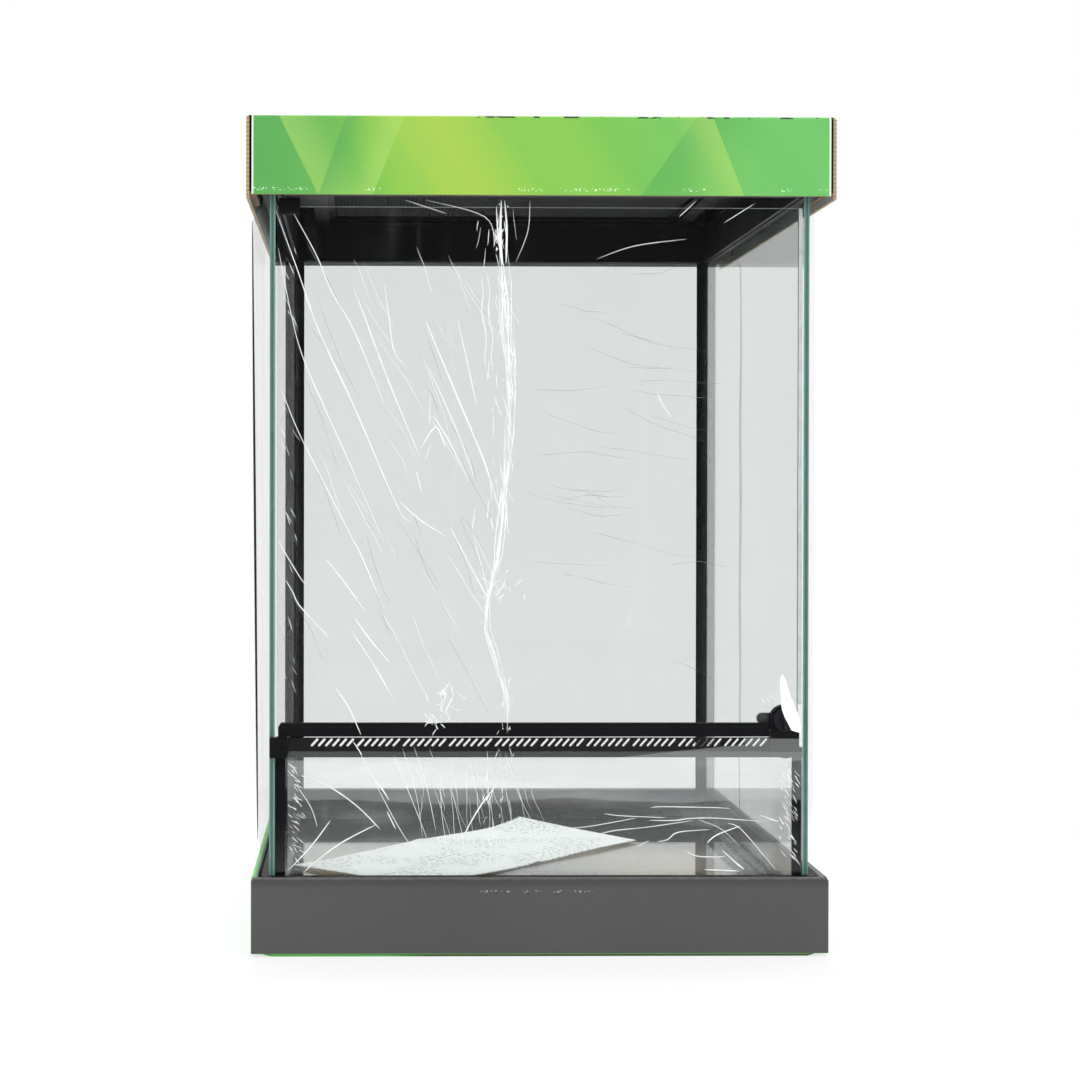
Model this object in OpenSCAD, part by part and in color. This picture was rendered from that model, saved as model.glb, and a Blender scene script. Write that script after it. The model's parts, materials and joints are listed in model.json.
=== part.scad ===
// Front-opening glass terrarium, standing in its carton tray under its carton cap.
// Millimetres. Origin: centre of the tray's underside. +Z up, the door faces -Y.

/* [Tank] */
// Width over the plastic frames
frame_w = 300; // [260:1:340]
// Depth over the plastic frames
frame_d = 300; // [260:1:340]
// Height of the tank, from the base frame's foot to the top frame's rim
tank_h = 446; // [400:1:500]
// Wall of the moulded frames
frame_wall = 2; // [1.6:0.1:2.4]
// Outside corner radius of the moulded frames
frame_r = 4; // [3:0.5:6]
// Gap between the frames' wall and the panes
pane_gap = 2.3; // [1.8:0.1:2.8]
// Height of the pane ledge above the base frame's foot
ledge_lift = 18.2; // [15:0.2:20]
// Width of the pane ledge inside the base frame's wall
ledge_w = 16; // [13:1:20]
// Pitch of the stiffening ribs under the pane ledge
rib_pitch = 44; // [30:1:60]

/* [Glass] */
// Thickness of the upright panes
glass_t = 3; // [2.6:0.1:3.2]
// Thickness of the floor pane
floor_t = 4; // [3:0.5:5]
// Silicone joint between two panes
joint_gap = 0.5; // [0.3:0.1:0.8]
// Leg of the floor's silicone fillet
floor_bead = 5; // [3:0.5:6]
// Leg of the rear corners' silicone fillets
rear_bead = 6.5; // [5:0.5:8]
// Leg of the front corners' silicone fillets
front_bead = 5.5; // [4:0.5:6]

/* [Vent strip] */
// Height of the strip's underside above the base frame's foot
strip_lift = 104.1; // [90:1:130]
// Height of the strip
strip_h = 10.6; // [10:0.2:13]
// Depth of the strip, front to back
strip_d = 6; // [5.6:0.1:6.6]
// Height of the clamp that grips the lower front pane
clamp_h = 3.7; // [3:0.1:4]
// Thickness of the slotted web and of the clamp's roof
web_t = 1.6; // [1.2:0.1:1.8]
// Groups of air slots
slot_groups = 10; // [6:1:10]
// Air slots in one group
slots_each = 6; // [4:1:6]
// Pitch of the groups
group_pitch = 24.8; // [24:0.1:25]
// Pitch of the slots in a group
slot_pitch = 3.85; // [3.6:0.05:4]
// Width of a slot
slot_w = 1.3; // [0.9:0.1:1.5]
// Height that a slot takes
slot_h = 4.2; // [3.4:0.1:4.4]
// Lean of the slots from upright
slot_lean = 42; // [0:1:45]
// Rim left above the slots
slot_rim = 0.5; // [0.4:0.1:0.8]

/* [Door] */
// Height of the door's bottom rail
rail_h = 7.2; // [6.4:0.1:9]
// Thickness of the rail and the hinge shoes
rail_t = 5.6; // [5:0.1:5.8]
// Solid floor of the rail, under the pane
rail_floor = 4; // [3.6:0.1:4.4]
// Air gap under the door
door_gap = 0.5; // [0.4:0.1:0.8]
// Gap between the door's top and the cap's edge
cap_clear = 0.8; // [0.6:0.1:1.5]
// Distance of the hinge axis from the left pane's inner face
hinge_in = 4.2; // [4.2:0.1:6]
// Length of a hinge shoe past the hinge axis
shoe_tail = 2.4; // [2:0.1:2.6]
// Width of a hinge shoe
shoe_w = 11.4; // [10:0.2:14]
// Height of the upper hinge shoe
shoe_h = 8.3; // [7.5:0.1:10]
// Radius of the hinge pins
pin_r = 1.5; // [1.2:0.1:1.6]
// Radial clearance of the hinge pins and the latch spindle
run_clear = 0.06; // [0.04:0.01:0.1]
// Width of the seal on the door's free edge
seal_w = 2.3; // [1.8:0.1:2.6]
// Gap between the seal and the right pane
seal_gap = 0.5; // [0.4:0.1:0.8]

/* [Latch] */
// Radius of the latch housing and of the keeper's round end
latch_r = 7.5; // [6.8:0.1:7.8]
// Height of the keeper above the strip
keeper_rise = 3.4; // [2.8:0.1:4]
// Height of the spindle above the keeper
spindle_rise = 6; // [5.6:0.1:7.4]
// Radius of the spindle
spindle_r = 2.2; // [1.8:0.1:2.4]
// Length of the cam, from the spindle to its tip
cam_l = 14; // [11:0.5:15]
// Thickness of the cam
cam_t = 2; // [1.6:0.1:2.4]
// Height of the knob's grip
grip_h = 4.4; // [3:0.2:4.8]

/* [Mesh lid] */
// Width of the deck beside the lid's pocket
deck_side = 17.4; // [17:0.1:30]
// Width of the deck before and behind the lid's pocket
deck_end = 9.4; // [9:0.1:30]
// Clearance round the lid in its pocket
lid_clear = 0.8; // [0.5:0.1:1.2]
// Width of the lid's rails
lid_rail = 10; // [9:0.5:14]
// Height of the lid's outer edge
lid_h = 7.5; // [6:0.5:8]
// Thickness of the lid's rails
lid_t = 2.2; // [1.6:0.1:2.6]
// Depth of the lid's ledge below the top frame's deck
pocket_h = 8.5; // [8.5:0.5:10]
// Depth of the deck below the top frame's rim
deck_drop = 3.9; // [3.7:0.1:5]
// Wires in relief on each side of the mesh
mesh_wires = 30; // [10:1:40]
// Thickness of the wire cloth
mesh_t = 0.6; // [0.4:0.1:0.8]

/* [Cable inlets] */
// Width of a cable inlet
inlet_w = 12; // [8:0.5:12]
// Length of a cable inlet
inlet_l = 60; // [40:1:70]
// Distance of an inlet's rear end from the top frame's inner wall
inlet_back = 22.2; // [20:0.2:40]
// Thickness of a shutter
shutter_t = 1.5; // [1.2:0.1:1.6]
// Overlap of a shutter past the inlet
shutter_lap = 1.5; // [1.2:0.1:1.6]
// Sideways clearance of a shutter in its guides
shutter_clear = 0.2; // [0.15:0.05:0.3]

/* [Cartons] */
// Thickness of the board
board_t = 1.6; // [1.2:0.1:1.6]
// Thickness of the tray's rolled double wall
tray_wall = 3.4; // [3:0.1:3.8]
// Gap between the tray and the base frame
tray_gap = 1.6; // [1.2:0.1:2]
// Height of the tray
tray_h = 42.5; // [36:0.5:50]
// Thickness of the tray's bottom
tray_floor = 1.8; // [1.4:0.1:2]
// Height of the cap's front panel
cap_h = 42.4; // [38:0.2:50]
// Gap between the cap's front panel and its side panels
cap_slit = 1.3; // [0.8:0.1:1.6]
// Height of the cap's board above the top frame's rim, where the lid's finger tabs carry it
cap_seat = 0.6; // [0.4:0.1:1]

/* [Inserts] */
// Length of the folded leaflet
leaflet_l = 210; // [180:1:210]
// Width of the folded leaflet
leaflet_w = 99; // [80:1:105]
// Thickness of the folded leaflet
leaflet_t = 1.2; // [0.6:0.1:2]
// Angle of the leaflet on the floor pane
leaflet_turn = 45; // [0:1:45]
// Distance of the leaflet's rear corner from the back pane
leaflet_back = 25.7; // [10:0.1:60]
// Thickness that the shrink film is drawn with
film_t = 0.2; // [0.1:0.05:0.3]

/* [Hidden] */
$fn = 48;
eps = 0.05;

// levels
z_foot = tray_floor;
z_rim = z_foot + tank_h;
z_board = z_rim + cap_seat;
z_cap = z_board + board_t - cap_h;
z_ledge = z_foot + ledge_lift;
z_floor = z_ledge + floor_t;
base_lap = 0.4;
z_base_top = tray_h - base_lap;
cap_lap = 1.4;
z_top_frame = z_cap + cap_lap;
z_deck = z_rim - deck_drop;
deck_t = 2;
z_lid = z_deck - pocket_h;
z_pane_top = z_deck - deck_t;
z_strip = z_foot + strip_lift;
z_strip_top = z_strip + strip_h;
z_door = z_strip_top + door_gap;
z_door_top = z_cap - cap_clear;

// plan
glass_x = frame_w / 2 - frame_wall - pane_gap;
glass_y = frame_d / 2 - frame_wall - pane_gap;
in_x = glass_x - glass_t;
in_y = glass_y - glass_t;
carton_x = frame_w / 2 + tray_gap + tray_wall;
carton_y = frame_d / 2 + tray_gap + tray_wall;
front_mid = -glass_y + glass_t / 2;
strip_y0 = front_mid - strip_d / 2;
strip_y1 = front_mid + strip_d / 2;
rail_y0 = front_mid - rail_t / 2;
rail_y1 = front_mid + rail_t / 2;
groove_clear = 0.05;
groove_y = glass_t + 2 * groove_clear;
proud = 2.2;
block_w = 9.4;
block_lap = 2.7;
hinge_x = -in_x + hinge_in;
door_x0 = -in_x + 1.2;
door_x1 = in_x - seal_gap - seal_w;
shoe_x0 = hinge_x - shoe_tail;
shoe_x1 = shoe_x0 + shoe_w;
z_glass0 = z_door + rail_floor;
shoe_cap = 4.3;
z_glass1 = z_door_top - shoe_cap;
latch_x = door_x1 + 0.1 - latch_r;
z_keeper_top = z_strip_top + keeper_rise;
z_spindle = z_keeper_top + door_gap + spindle_rise;
keeper_x0 = latch_x - latch_r + 0.2;
rail_x0 = shoe_x1 + 0.2;
rail_x1 = latch_x - latch_r - 0.4;
flange_t = 1.2;
core_r = latch_r - 1.9;
disc_r = min(latch_r - 0.7, spindle_rise + door_gap - 0.3);
knob_gap = 0.2;
grip_w = 3;
grip_l = 2 * disc_r - grip_w - 1.2;
cam_y0 = rail_y1 + 0.2;
cam_w = 6;
pocket_wall = 1.2;
ledge_in = 6;
mesh_lap = 5;
wire_w = 1.2;
inner_wall_x = in_x - joint_gap;
inner_wall_y = in_y - joint_gap;
pocket_x = inner_wall_x - deck_side;
pocket_y = inner_wall_y - deck_end;
lid_w = 2 * (pocket_x - lid_clear);
lid_d = 2 * (pocket_y - lid_clear);
inlet_x = (pocket_x + pocket_wall + inner_wall_x - frame_wall) / 2 + 0.4;
inlet_y = inner_wall_y - inlet_back - inlet_l / 2;
shutter_w = inlet_w + 2 * shutter_lap;
shutter_l = inlet_l + 2 * shutter_lap + 3;
side_droop = 1.9;
flap_l = 50;
flap_rise = 2;
guide_w = 1;
guide_lip = 1;
lip_gap = 0.2;
travel = inlet_l;
film_in = 12;
z_film0 = z_base_top - 20;
z_film1 = z_top_frame + 8;

// rounded rectangle about the origin
module rrect(w, d, r) {
  square([w - 2 * r, d], center = true);
  square([w, d - 2 * r], center = true);
  for (sx = [-1, 1], sy = [-1, 1])
    translate([sx * (w / 2 - r), sy * (d / 2 - r)])
      circle(r);
}

// upright ring with a wall of t, from z0 to z1
module ring(w, d, r, t, z0, z1) {
  translate([0, 0, z0])
    linear_extrude(z1 - z0)
      difference() {
        rrect(w, d, r);
        rrect(w - 2 * t, d - 2 * t, max(r - t, 0.5));
      }
}

// square-cornered ring between two rectangles
module flat_ring(w, d, w_in, d_in, z0, z1) {
  translate([0, 0, z0])
    linear_extrude(z1 - z0)
      difference() {
        square([w, d], center = true);
        square([w_in, d_in], center = true);
      }
}

// box from its two corners
module block(a, b) {
  translate(a)
    cube(b - a);
}

// a [y, z] profile drawn along X
module along_x(x0, x1, pts) {
  translate([x0, 0, 0])
    rotate([90, 0, 90])
      linear_extrude(x1 - x0)
        polygon(pts);
}

// an [x, z] shape drawn along Y
module along_y(y0, y1) {
  translate([0, y1, 0])
    rotate([90, 0, 0])
      linear_extrude(y1 - y0)
        children();
}

// hollow fillet in a corner at the origin, opening to +x +y
function fillet_pts(leg) = concat(
  [[0, 0]],
  [for (a = [0 : 15 : 90]) [leg * (1 - sin(a)), leg * (1 - cos(a))]]
);
module fillet(leg) {
  polygon(fillet_pts(leg));
}

module base_frame() {
  z_under = z_ledge - 3;
  wall_x = frame_w / 2 - frame_wall;
  wall_y = frame_d / 2 - frame_wall;
  nx = floor((frame_w - 60) / rib_pitch / 2);
  ny = floor((frame_d - 60) / rib_pitch / 2);
  color("#17171b") {
    ring(frame_w, frame_d, frame_r, frame_wall, z_foot, z_base_top);
    ring(frame_w, frame_d, frame_r, frame_wall + 2, z_base_top - 2, z_base_top);
    ring(frame_w, frame_d, frame_r, 7, z_foot, z_foot + 2);
    ring(frame_w, frame_d, frame_r, frame_wall + ledge_w, z_under, z_ledge);
    for (i = [-nx : nx], s = [-1, 1])
      translate([i * rib_pitch, s * (wall_y - ledge_w / 2 + 0.5), (z_under + z_foot + 6) / 2])
        cube([1.6, ledge_w - 1, z_under - z_foot - 6 + eps], center = true);
    for (i = [-ny : ny], s = [-1, 1])
      translate([s * (wall_x - ledge_w / 2 + 0.5), i * rib_pitch, (z_under + z_foot + 6) / 2])
        cube([ledge_w - 1, 1.6, z_under - z_foot - 6 + eps], center = true);
  }
}

module floor_glass() {
  color("#b9cfc8", 0.5)
    block([-in_x + joint_gap, -in_y + joint_gap, z_ledge], [in_x - joint_gap, in_y - joint_gap, z_floor]);
}

module back_glass() {
  color("#b9cfc8", 0.4)
    block([-in_x + joint_gap, in_y, z_ledge], [in_x - joint_gap, glass_y, z_pane_top]);
}

module left_glass() {
  color("#9fc4ba", 0.4)
    block([-glass_x, -glass_y, z_ledge], [-in_x, glass_y, z_pane_top]);
}

module right_glass() {
  color("#9fc4ba", 0.4)
    block([in_x, -glass_y, z_ledge], [glass_x, glass_y, z_pane_top]);
}

module lower_front_glass() {
  color("#b9cfc8", 0.4)
    block([-in_x + joint_gap, -glass_y, z_ledge], [in_x - joint_gap, -in_y, z_strip + clamp_h]);
}

// fillet along the foot of the four panes
module silicone_floor() {
  color("#141417")
    for (s = [0, 1, 2, 3]) {
      run = s % 2 == 0 ? in_x : in_y;
      off = s % 2 == 0 ? in_y : in_x;
      rotate(s * 90)
        translate([-run, off, z_floor])
          rotate([90, 0, 90])
            linear_extrude(2 * run)
              mirror([1, 0])
                fillet(floor_bead);
    }
}

// upright fillets in the two rear corners
module silicone_rear() {
  color("#141417")
    for (s = [-1, 1])
      translate([s * in_x, in_y, z_floor + floor_bead])
        linear_extrude(z_top_frame - z_floor - floor_bead)
          mirror([s > 0 ? 1 : 0, 0])
            mirror([0, 1])
              fillet(rear_bead);
}

// upright fillets beside the lower front pane
module silicone_front() {
  color("#141417")
    for (s = [-1, 1])
      translate([s * in_x, -in_y, z_floor + floor_bead])
        linear_extrude(z_strip - z_floor - floor_bead)
          mirror([s > 0 ? 1 : 0, 0])
            fillet(front_bead);
}

// one leaning air slot, centred on the origin of the [x, z] plane
module slot_shape() {
  l = slot_h / cos(slot_lean) - slot_w;
  rotate(-slot_lean) {
    square([slot_w, l], center = true);
    for (s = [-1, 1])
      translate([0, s * l / 2])
        circle(slot_w / 2);
  }
}

module vent_strip() {
  z_roof = z_strip + clamp_h;
  z_web = z_roof + web_t;
  first = -((slot_groups - 1) * group_pitch + (slots_each - 1) * slot_pitch) / 2;
  x0 = -in_x + block_w - block_lap + 0.2;
  clamp = [
    [strip_y0, z_strip], [front_mid - groove_y / 2, z_strip], [front_mid - groove_y / 2, z_roof],
    [front_mid + groove_y / 2, z_roof], [front_mid + groove_y / 2, z_strip], [strip_y1, z_strip],
    [strip_y1, z_web], [strip_y0, z_web]
  ];
  color("#1b1b20") {
    along_x(x0, in_x - joint_gap, clamp);
    difference() {
      union() {
        block([x0, strip_y0, z_web - eps], [keeper_x0, strip_y0 + web_t, z_strip_top]);
        // stop tab behind the hinge end of the door's rail
        block([x0 + 1, strip_y1 - 0.2, z_roof], [x0 + 8, strip_y1 + 1.2, z_strip_top + 3]);
      }
      for (g = [0 : slot_groups - 1], k = [0 : slots_each - 1])
        translate([first + g * group_pitch + k * slot_pitch, 0, z_strip_top - slot_rim - slot_h / 2])
          along_y(strip_y0 - 1, strip_y0 + web_t + 1)
            slot_shape();
    }
  }
}

// block at the strip's left end that carries the lower hinge pin
module hinge_block() {
  x0 = -in_x - block_lap;
  x1 = -in_x + block_w - block_lap;
  plan = [
    [x0, strip_y0 - proud + 0.4], [x0 + 0.4, strip_y0 - proud], [x1, strip_y0 - proud],
    [x1, strip_y1], [-in_x + 0.3, strip_y1], [-in_x + 0.3, -glass_y - 0.1], [x0, -glass_y - 0.1]
  ];
  color("#17171b")
    difference() {
      translate([0, 0, z_strip])
        linear_extrude(strip_h)
          polygon(plan);
      block([-in_x, front_mid - groove_y / 2, z_strip - 1], [x1 + 1, front_mid + groove_y / 2, z_strip + clamp_h]);
      translate([hinge_x, front_mid, z_strip + clamp_h + 1])
        cylinder(r = pin_r, h = strip_h);
      translate([hinge_x, strip_y0 - proud + 1, z_strip + strip_h / 2])
        rotate([90, 0, 0])
          cylinder(r = 0.8, h = 3);
    }
}

// plate and post at the strip's right end, that the cam hooks behind
module latch_keeper() {
  x1 = latch_x + latch_r + 0.2;
  z_c = z_strip + latch_r - 0.3;
  color("#1b1b20") {
    along_y(strip_y0 - proud, strip_y0)
      intersection() {
        union() {
          translate([latch_x, z_c])
            circle(latch_r);
          translate([latch_x - latch_r, z_c])
            square([2 * latch_r, z_keeper_top - z_c]);
        }
        translate([latch_x - latch_r, z_c - 2 * latch_r])
          square([2 * latch_r, z_keeper_top - z_c + 2 * latch_r]);
      }
    block([keeper_x0, strip_y0 - eps, z_strip + clamp_h + web_t], [x1, strip_y1 - 0.4, z_keeper_top]);
  }
}

// the two steel pins that the door turns on
module hinge_pins() {
  color("#b9bcc0") {
    translate([hinge_x, front_mid, z_strip + clamp_h + 1])
      cylinder(r = pin_r, h = z_glass0 - 0.8 - z_strip - clamp_h - 1);
    translate([hinge_x, front_mid, z_door_top - 3.2])
      cylinder(r = pin_r, h = z_top_frame + 6 - z_door_top + 3.2);
  }
}

// guide rail of an inlet shutter; s is -1 on the left and 1 on the right
module shutter_guides(s) {
  y0 = inlet_y - shutter_l / 2 - travel;
  y1 = inlet_y + shutter_l / 2 + 0.5;
  half = shutter_w / 2 + shutter_clear;
  z_lip = z_deck + shutter_t + lip_gap;
  for (t = [-1, 1])
    translate([s * inlet_x, 0, 0])
      mirror([t > 0 ? 1 : 0, 0, 0]) {
        block([-half - guide_w, y0, z_deck - eps], [-half, y1, z_lip + 0.8]);
        block([-half - guide_w, y0, z_lip], [-half + guide_lip, y1, z_lip + 0.8]);
      }
  block([s * inlet_x - half, y1 - 1, z_deck - eps], [s * inlet_x + half, y1 + 0.5, z_lip + 0.8]);
}

module top_frame() {
  ledge_x = lid_w / 2 - ledge_in;
  ledge_y = lid_d / 2 - ledge_in;
  color("#17171b")
    difference() {
      union() {
        ring(frame_w, frame_d, frame_r, frame_wall, z_top_frame, z_rim);
        ring(frame_w, frame_d, frame_r, frame_wall + 2, z_top_frame, z_top_frame + 2);
        ring(2 * inner_wall_x, 2 * inner_wall_y, 1, frame_wall, z_top_frame, z_deck);
        flat_ring(frame_w - 2, frame_d - 2, 2 * pocket_x, 2 * pocket_y, z_deck - deck_t, z_deck);
        flat_ring(2 * pocket_x + 2 * pocket_wall, 2 * pocket_y + 2 * pocket_wall,
          2 * pocket_x, 2 * pocket_y, z_lid - 1, z_deck);
        flat_ring(2 * inner_wall_x - 1, 2 * inner_wall_y - 1, 2 * ledge_x, 2 * ledge_y, z_lid - 2, z_lid);
        // sill over the door, between the two walls
        block([-inner_wall_x, -frame_d / 2 + 1, z_top_frame], [inner_wall_x, -inner_wall_y + 1, z_top_frame + 2]);
        // boss for the upper hinge pin
        block([hinge_x - 3.6, -frame_d / 2 + 1, z_top_frame], [hinge_x + 5, -inner_wall_y + 1, z_top_frame + 8]);
        for (s = [-1, 1])
          shutter_guides(s);
      }
      for (s = [-1, 1])
        translate([s * inlet_x, inlet_y, (z_lid + z_deck) / 2])
          cube([inlet_w, inlet_l, pocket_h + 6], center = true);
      translate([hinge_x, front_mid, z_top_frame - 1])
        cylinder(r = pin_r, h = 7);
    }
}

module door_glass() {
  color("#b9cfc8", 0.4)
    difference() {
      block([door_x0, -glass_y, z_glass0], [door_x1, -in_y, z_glass1]);
      along_y(-glass_y - 1, -in_y + 1) {
        translate([latch_x, z_spindle])
          circle(core_r + groove_clear);
        translate([latch_x - core_r - groove_clear, z_door])
          square([latch_r + core_r + 5, z_spindle - z_door]);
      }
    }
}

module door_bottom_rail() {
  g0 = front_mid - groove_y / 2;
  g1 = front_mid + groove_y / 2;
  z1 = z_door + rail_h;
  color("#1b1b20")
    along_x(rail_x0, rail_x1, [
      [rail_y0 + 0.4, z_door], [rail_y1 - 0.4, z_door], [rail_y1, z_door + 0.4], [rail_y1, z1],
      [g1, z1], [g1, z_glass0], [g0, z_glass0], [g0, z1], [rail_y0 + 0.5, z1],
      [rail_y0 + 0.5, z1 - 1.8], [rail_y0, z1 - 2.2], [rail_y0, z_door + 0.4]
    ]);
}

// clip on a corner of the door pane, with the bore for its hinge pin
module hinge_shoe(z0, z1, groove0, groove1, bore0, bore1, cut) {
  color("#17171b")
    difference() {
      along_y(rail_y0, rail_y1)
        polygon([
          [shoe_x0, z0], [shoe_x1, z0], [shoe_x1, z1], [shoe_x0 + cut, z1], [shoe_x0, z1 - cut * 1.6]
        ]);
      block([shoe_x0 - 1, front_mid - groove_y / 2, groove0], [shoe_x1 + 1, front_mid + groove_y / 2, groove1]);
      translate([hinge_x, front_mid, bore0])
        cylinder(r = pin_r + run_clear, h = bore1 - bore0);
    }
}

module door_hinge_lower() {
  hinge_shoe(z_door, z_door + rail_h, z_glass0, z_door + rail_h + 1, z_door - 1, z_glass0 - 0.5, 1.4);
}

module door_hinge_upper() {
  hinge_shoe(z_door_top - shoe_h, z_door_top, z_door_top - shoe_h - 1, z_glass1,
    z_glass1 + 0.5, z_door_top + 1, 0);
}

module door_seal() {
  z0 = z_spindle + latch_r + 0.4;
  color("#c8cdca", 0.7)
    along_z_profile(z0, z_glass1, [
      [door_x1, -glass_y + 0.3], [door_x1 + 0.8, -glass_y + 0.3], [door_x1 + seal_w, -glass_y + 1.1],
      [door_x1 + seal_w, -glass_y + 1.6], [door_x1 + 0.8, -glass_y + 1.5], [door_x1 + 0.8, -in_y - 0.3],
      [door_x1, -in_y - 0.3]
    ]);
}

// a plan outline drawn upwards
module along_z_profile(z0, z1, pts) {
  translate([0, 0, z0])
    linear_extrude(z1 - z0)
      polygon(pts);
}

// round-topped, flat-footed outline of the latch housing, in the [x, z] plane
module latch_outline(r) {
  z0 = z_keeper_top + door_gap;
  intersection() {
    union() {
      translate([latch_x, z_spindle])
        circle(r);
      translate([latch_x - r, z0])
        square([2 * r, spindle_rise]);
    }
    translate([latch_x - r, z0])
      square([2 * r, spindle_rise + r]);
  }
}

module latch_housing() {
  color("#17171b")
    difference() {
      union() {
        along_y(rail_y0 - 0.4, -glass_y)
          latch_outline(latch_r);
        along_y(-glass_y - eps, -in_y + eps)
          latch_outline(core_r);
        along_y(-in_y, rail_y1)
          latch_outline(latch_r);
      }
      along_y(rail_y0 - 2, rail_y1 + 2)
        translate([latch_x, z_spindle])
          circle(spindle_r + run_clear);
    }
}

module latch_knob() {
  y1 = rail_y0 - 0.4 - knob_gap;
  y_disc = y1 - 1.8;
  color("#222228") {
    along_y(y_disc, y1)
      translate([latch_x, z_spindle])
        circle(disc_r);
    along_y(y_disc - grip_h, y_disc + eps)
      translate([latch_x, z_spindle]) {
        square([grip_w, grip_l], center = true);
        for (s = [-1, 1])
          translate([0, s * grip_l / 2])
            circle(grip_w / 2);
      }
    along_y(y1 - eps, cam_y0 + cam_t)
      translate([latch_x, z_spindle])
        circle(spindle_r);
  }
}

module latch_cam() {
  color("#8d9094")
    along_y(cam_y0, cam_y0 + cam_t)
      difference() {
        union() {
          translate([latch_x, z_spindle])
            circle(cam_w / 2 + 1);
          translate([latch_x - cam_l + cam_w / 2, z_spindle - cam_w / 2])
            square([cam_l - cam_w / 2, cam_w]);
          translate([latch_x - cam_l + cam_w / 2, z_spindle])
            circle(cam_w / 2);
        }
        translate([latch_x, z_spindle])
          circle(spindle_r);
      }
}

module latch_screw() {
  y0 = cam_y0 + cam_t;
  color("#b9bcc0")
    translate([latch_x, y0 + 1.3, z_spindle])
      rotate([90, 0, 0])
        difference() {
          cylinder(r = spindle_r + 0.6, h = 1.3);
          cube([0.7, 4, 1.2], center = true);
        }
}

module lid_frame() {
  edge = 1.6;
  tab_w = 36;
  z_edge = z_lid + lid_h;
  color("#1b1b20") {
    flat_ring(lid_w, lid_d, lid_w - 2 * lid_rail, lid_d - 2 * lid_rail, z_lid, z_lid + lid_t);
    flat_ring(lid_w, lid_d, lid_w - 2 * edge, lid_d - 2 * edge, z_lid, z_edge);
    // finger tabs on the front and rear rails, up to the cap's board
    for (s = [-1, 1])
      translate([0, s * (lid_d / 2 - edge / 2), (z_edge + z_board) / 2 - 1])
        cube([tab_w, edge, z_board - z_edge + 2], center = true);
  }
}

// fine wire cloth, drawn as a sheet with wires in relief: lengthwise below, crosswise above
module lid_mesh() {
  w = lid_w - 2 * lid_rail + 2 * mesh_lap;
  d = lid_d - 2 * lid_rail + 2 * mesh_lap;
  layer = mesh_t / 3;
  color("#6a6c6c")
    translate([-w / 2, -d / 2, z_lid + lid_t]) {
      translate([0, 0, layer])
        cube([w, d, layer]);
      for (i = [0 : mesh_wires - 1]) {
        translate([i * (w - wire_w) / (mesh_wires - 1), 0, 0])
          cube([wire_w, d, layer]);
        translate([0, i * (d - wire_w) / (mesh_wires - 1), 2 * layer])
          cube([w, wire_w, layer]);
      }
    }
}

// frame that holds the mesh down
module lid_retainer() {
  z0 = z_lid + lid_t + mesh_t;
  color("#1b1b20")
    flat_ring(lid_w - 4, lid_d - 4, lid_w - 2 * lid_rail + 2, lid_d - 2 * lid_rail + 2, z0, z0 + 1.6);
}

module inlet_shutter(s) {
  half = shutter_w / 2;
  color("#26262b")
    translate([s * inlet_x, inlet_y, 0]) {
      block([-half, -shutter_l / 2, z_deck], [half, shutter_l / 2 - 0.7, z_deck + shutter_t]);
      for (i = [0 : 4])
        block([-half + 2, -shutter_l / 2 + 2 + i * 3, z_deck + shutter_t - eps],
          [half - 2, -shutter_l / 2 + 3.4 + i * 3, z_deck + shutter_t + 0.7]);
    }
}

module left_inlet_shutter() {
  inlet_shutter(-1);
}

module right_inlet_shutter() {
  inlet_shutter(1);
}

// outer quarter-round of a fold in the board, along X
module fold_edge(l) {
  intersection() {
    rotate([0, 90, 0])
      cylinder(r = board_t, h = l);
    cube([l, board_t, board_t]);
  }
}

// carton cap: a lid of folded board with its side panels outside the corner flaps
module top_cap() {
  side_x = carton_x + cap_slit;
  z_side = z_cap - side_droop;
  in_cap = carton_y - board_t;
  flap_t = board_t + cap_slit;
  color("#6fbf5a") {
    block([-side_x, -in_cap, z_board], [side_x, in_cap, z_board + board_t]);
    for (s = [-1, 1]) {
      // front and back panels, with their folds
      translate([0, s * (carton_y - board_t / 2), (z_cap + z_board) / 2])
        cube([2 * carton_x, board_t, z_board - z_cap], center = true);
      mirror([0, s < 0 ? 1 : 0, 0])
        translate([-carton_x, in_cap, z_board])
          fold_edge(2 * carton_x);
      // side panels, with their folds
      translate([s * (side_x + board_t / 2), 0, (z_side + z_board) / 2])
        cube([board_t, 2 * carton_y, z_board - z_side], center = true);
      mirror([s < 0 ? 1 : 0, 0, 0])
        translate([side_x, in_cap, z_board])
          rotate(-90)
            fold_edge(2 * in_cap);
      // corner flaps, folded in and glued behind the side panels
      for (t = [-1, 1])
        translate([s * (side_x - flap_t / 2), t * (in_cap - flap_l / 2), (z_cap + flap_rise + z_board) / 2])
          cube([flap_t, flap_l, z_board - z_cap - flap_rise], center = true);
    }
  }
}

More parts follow.
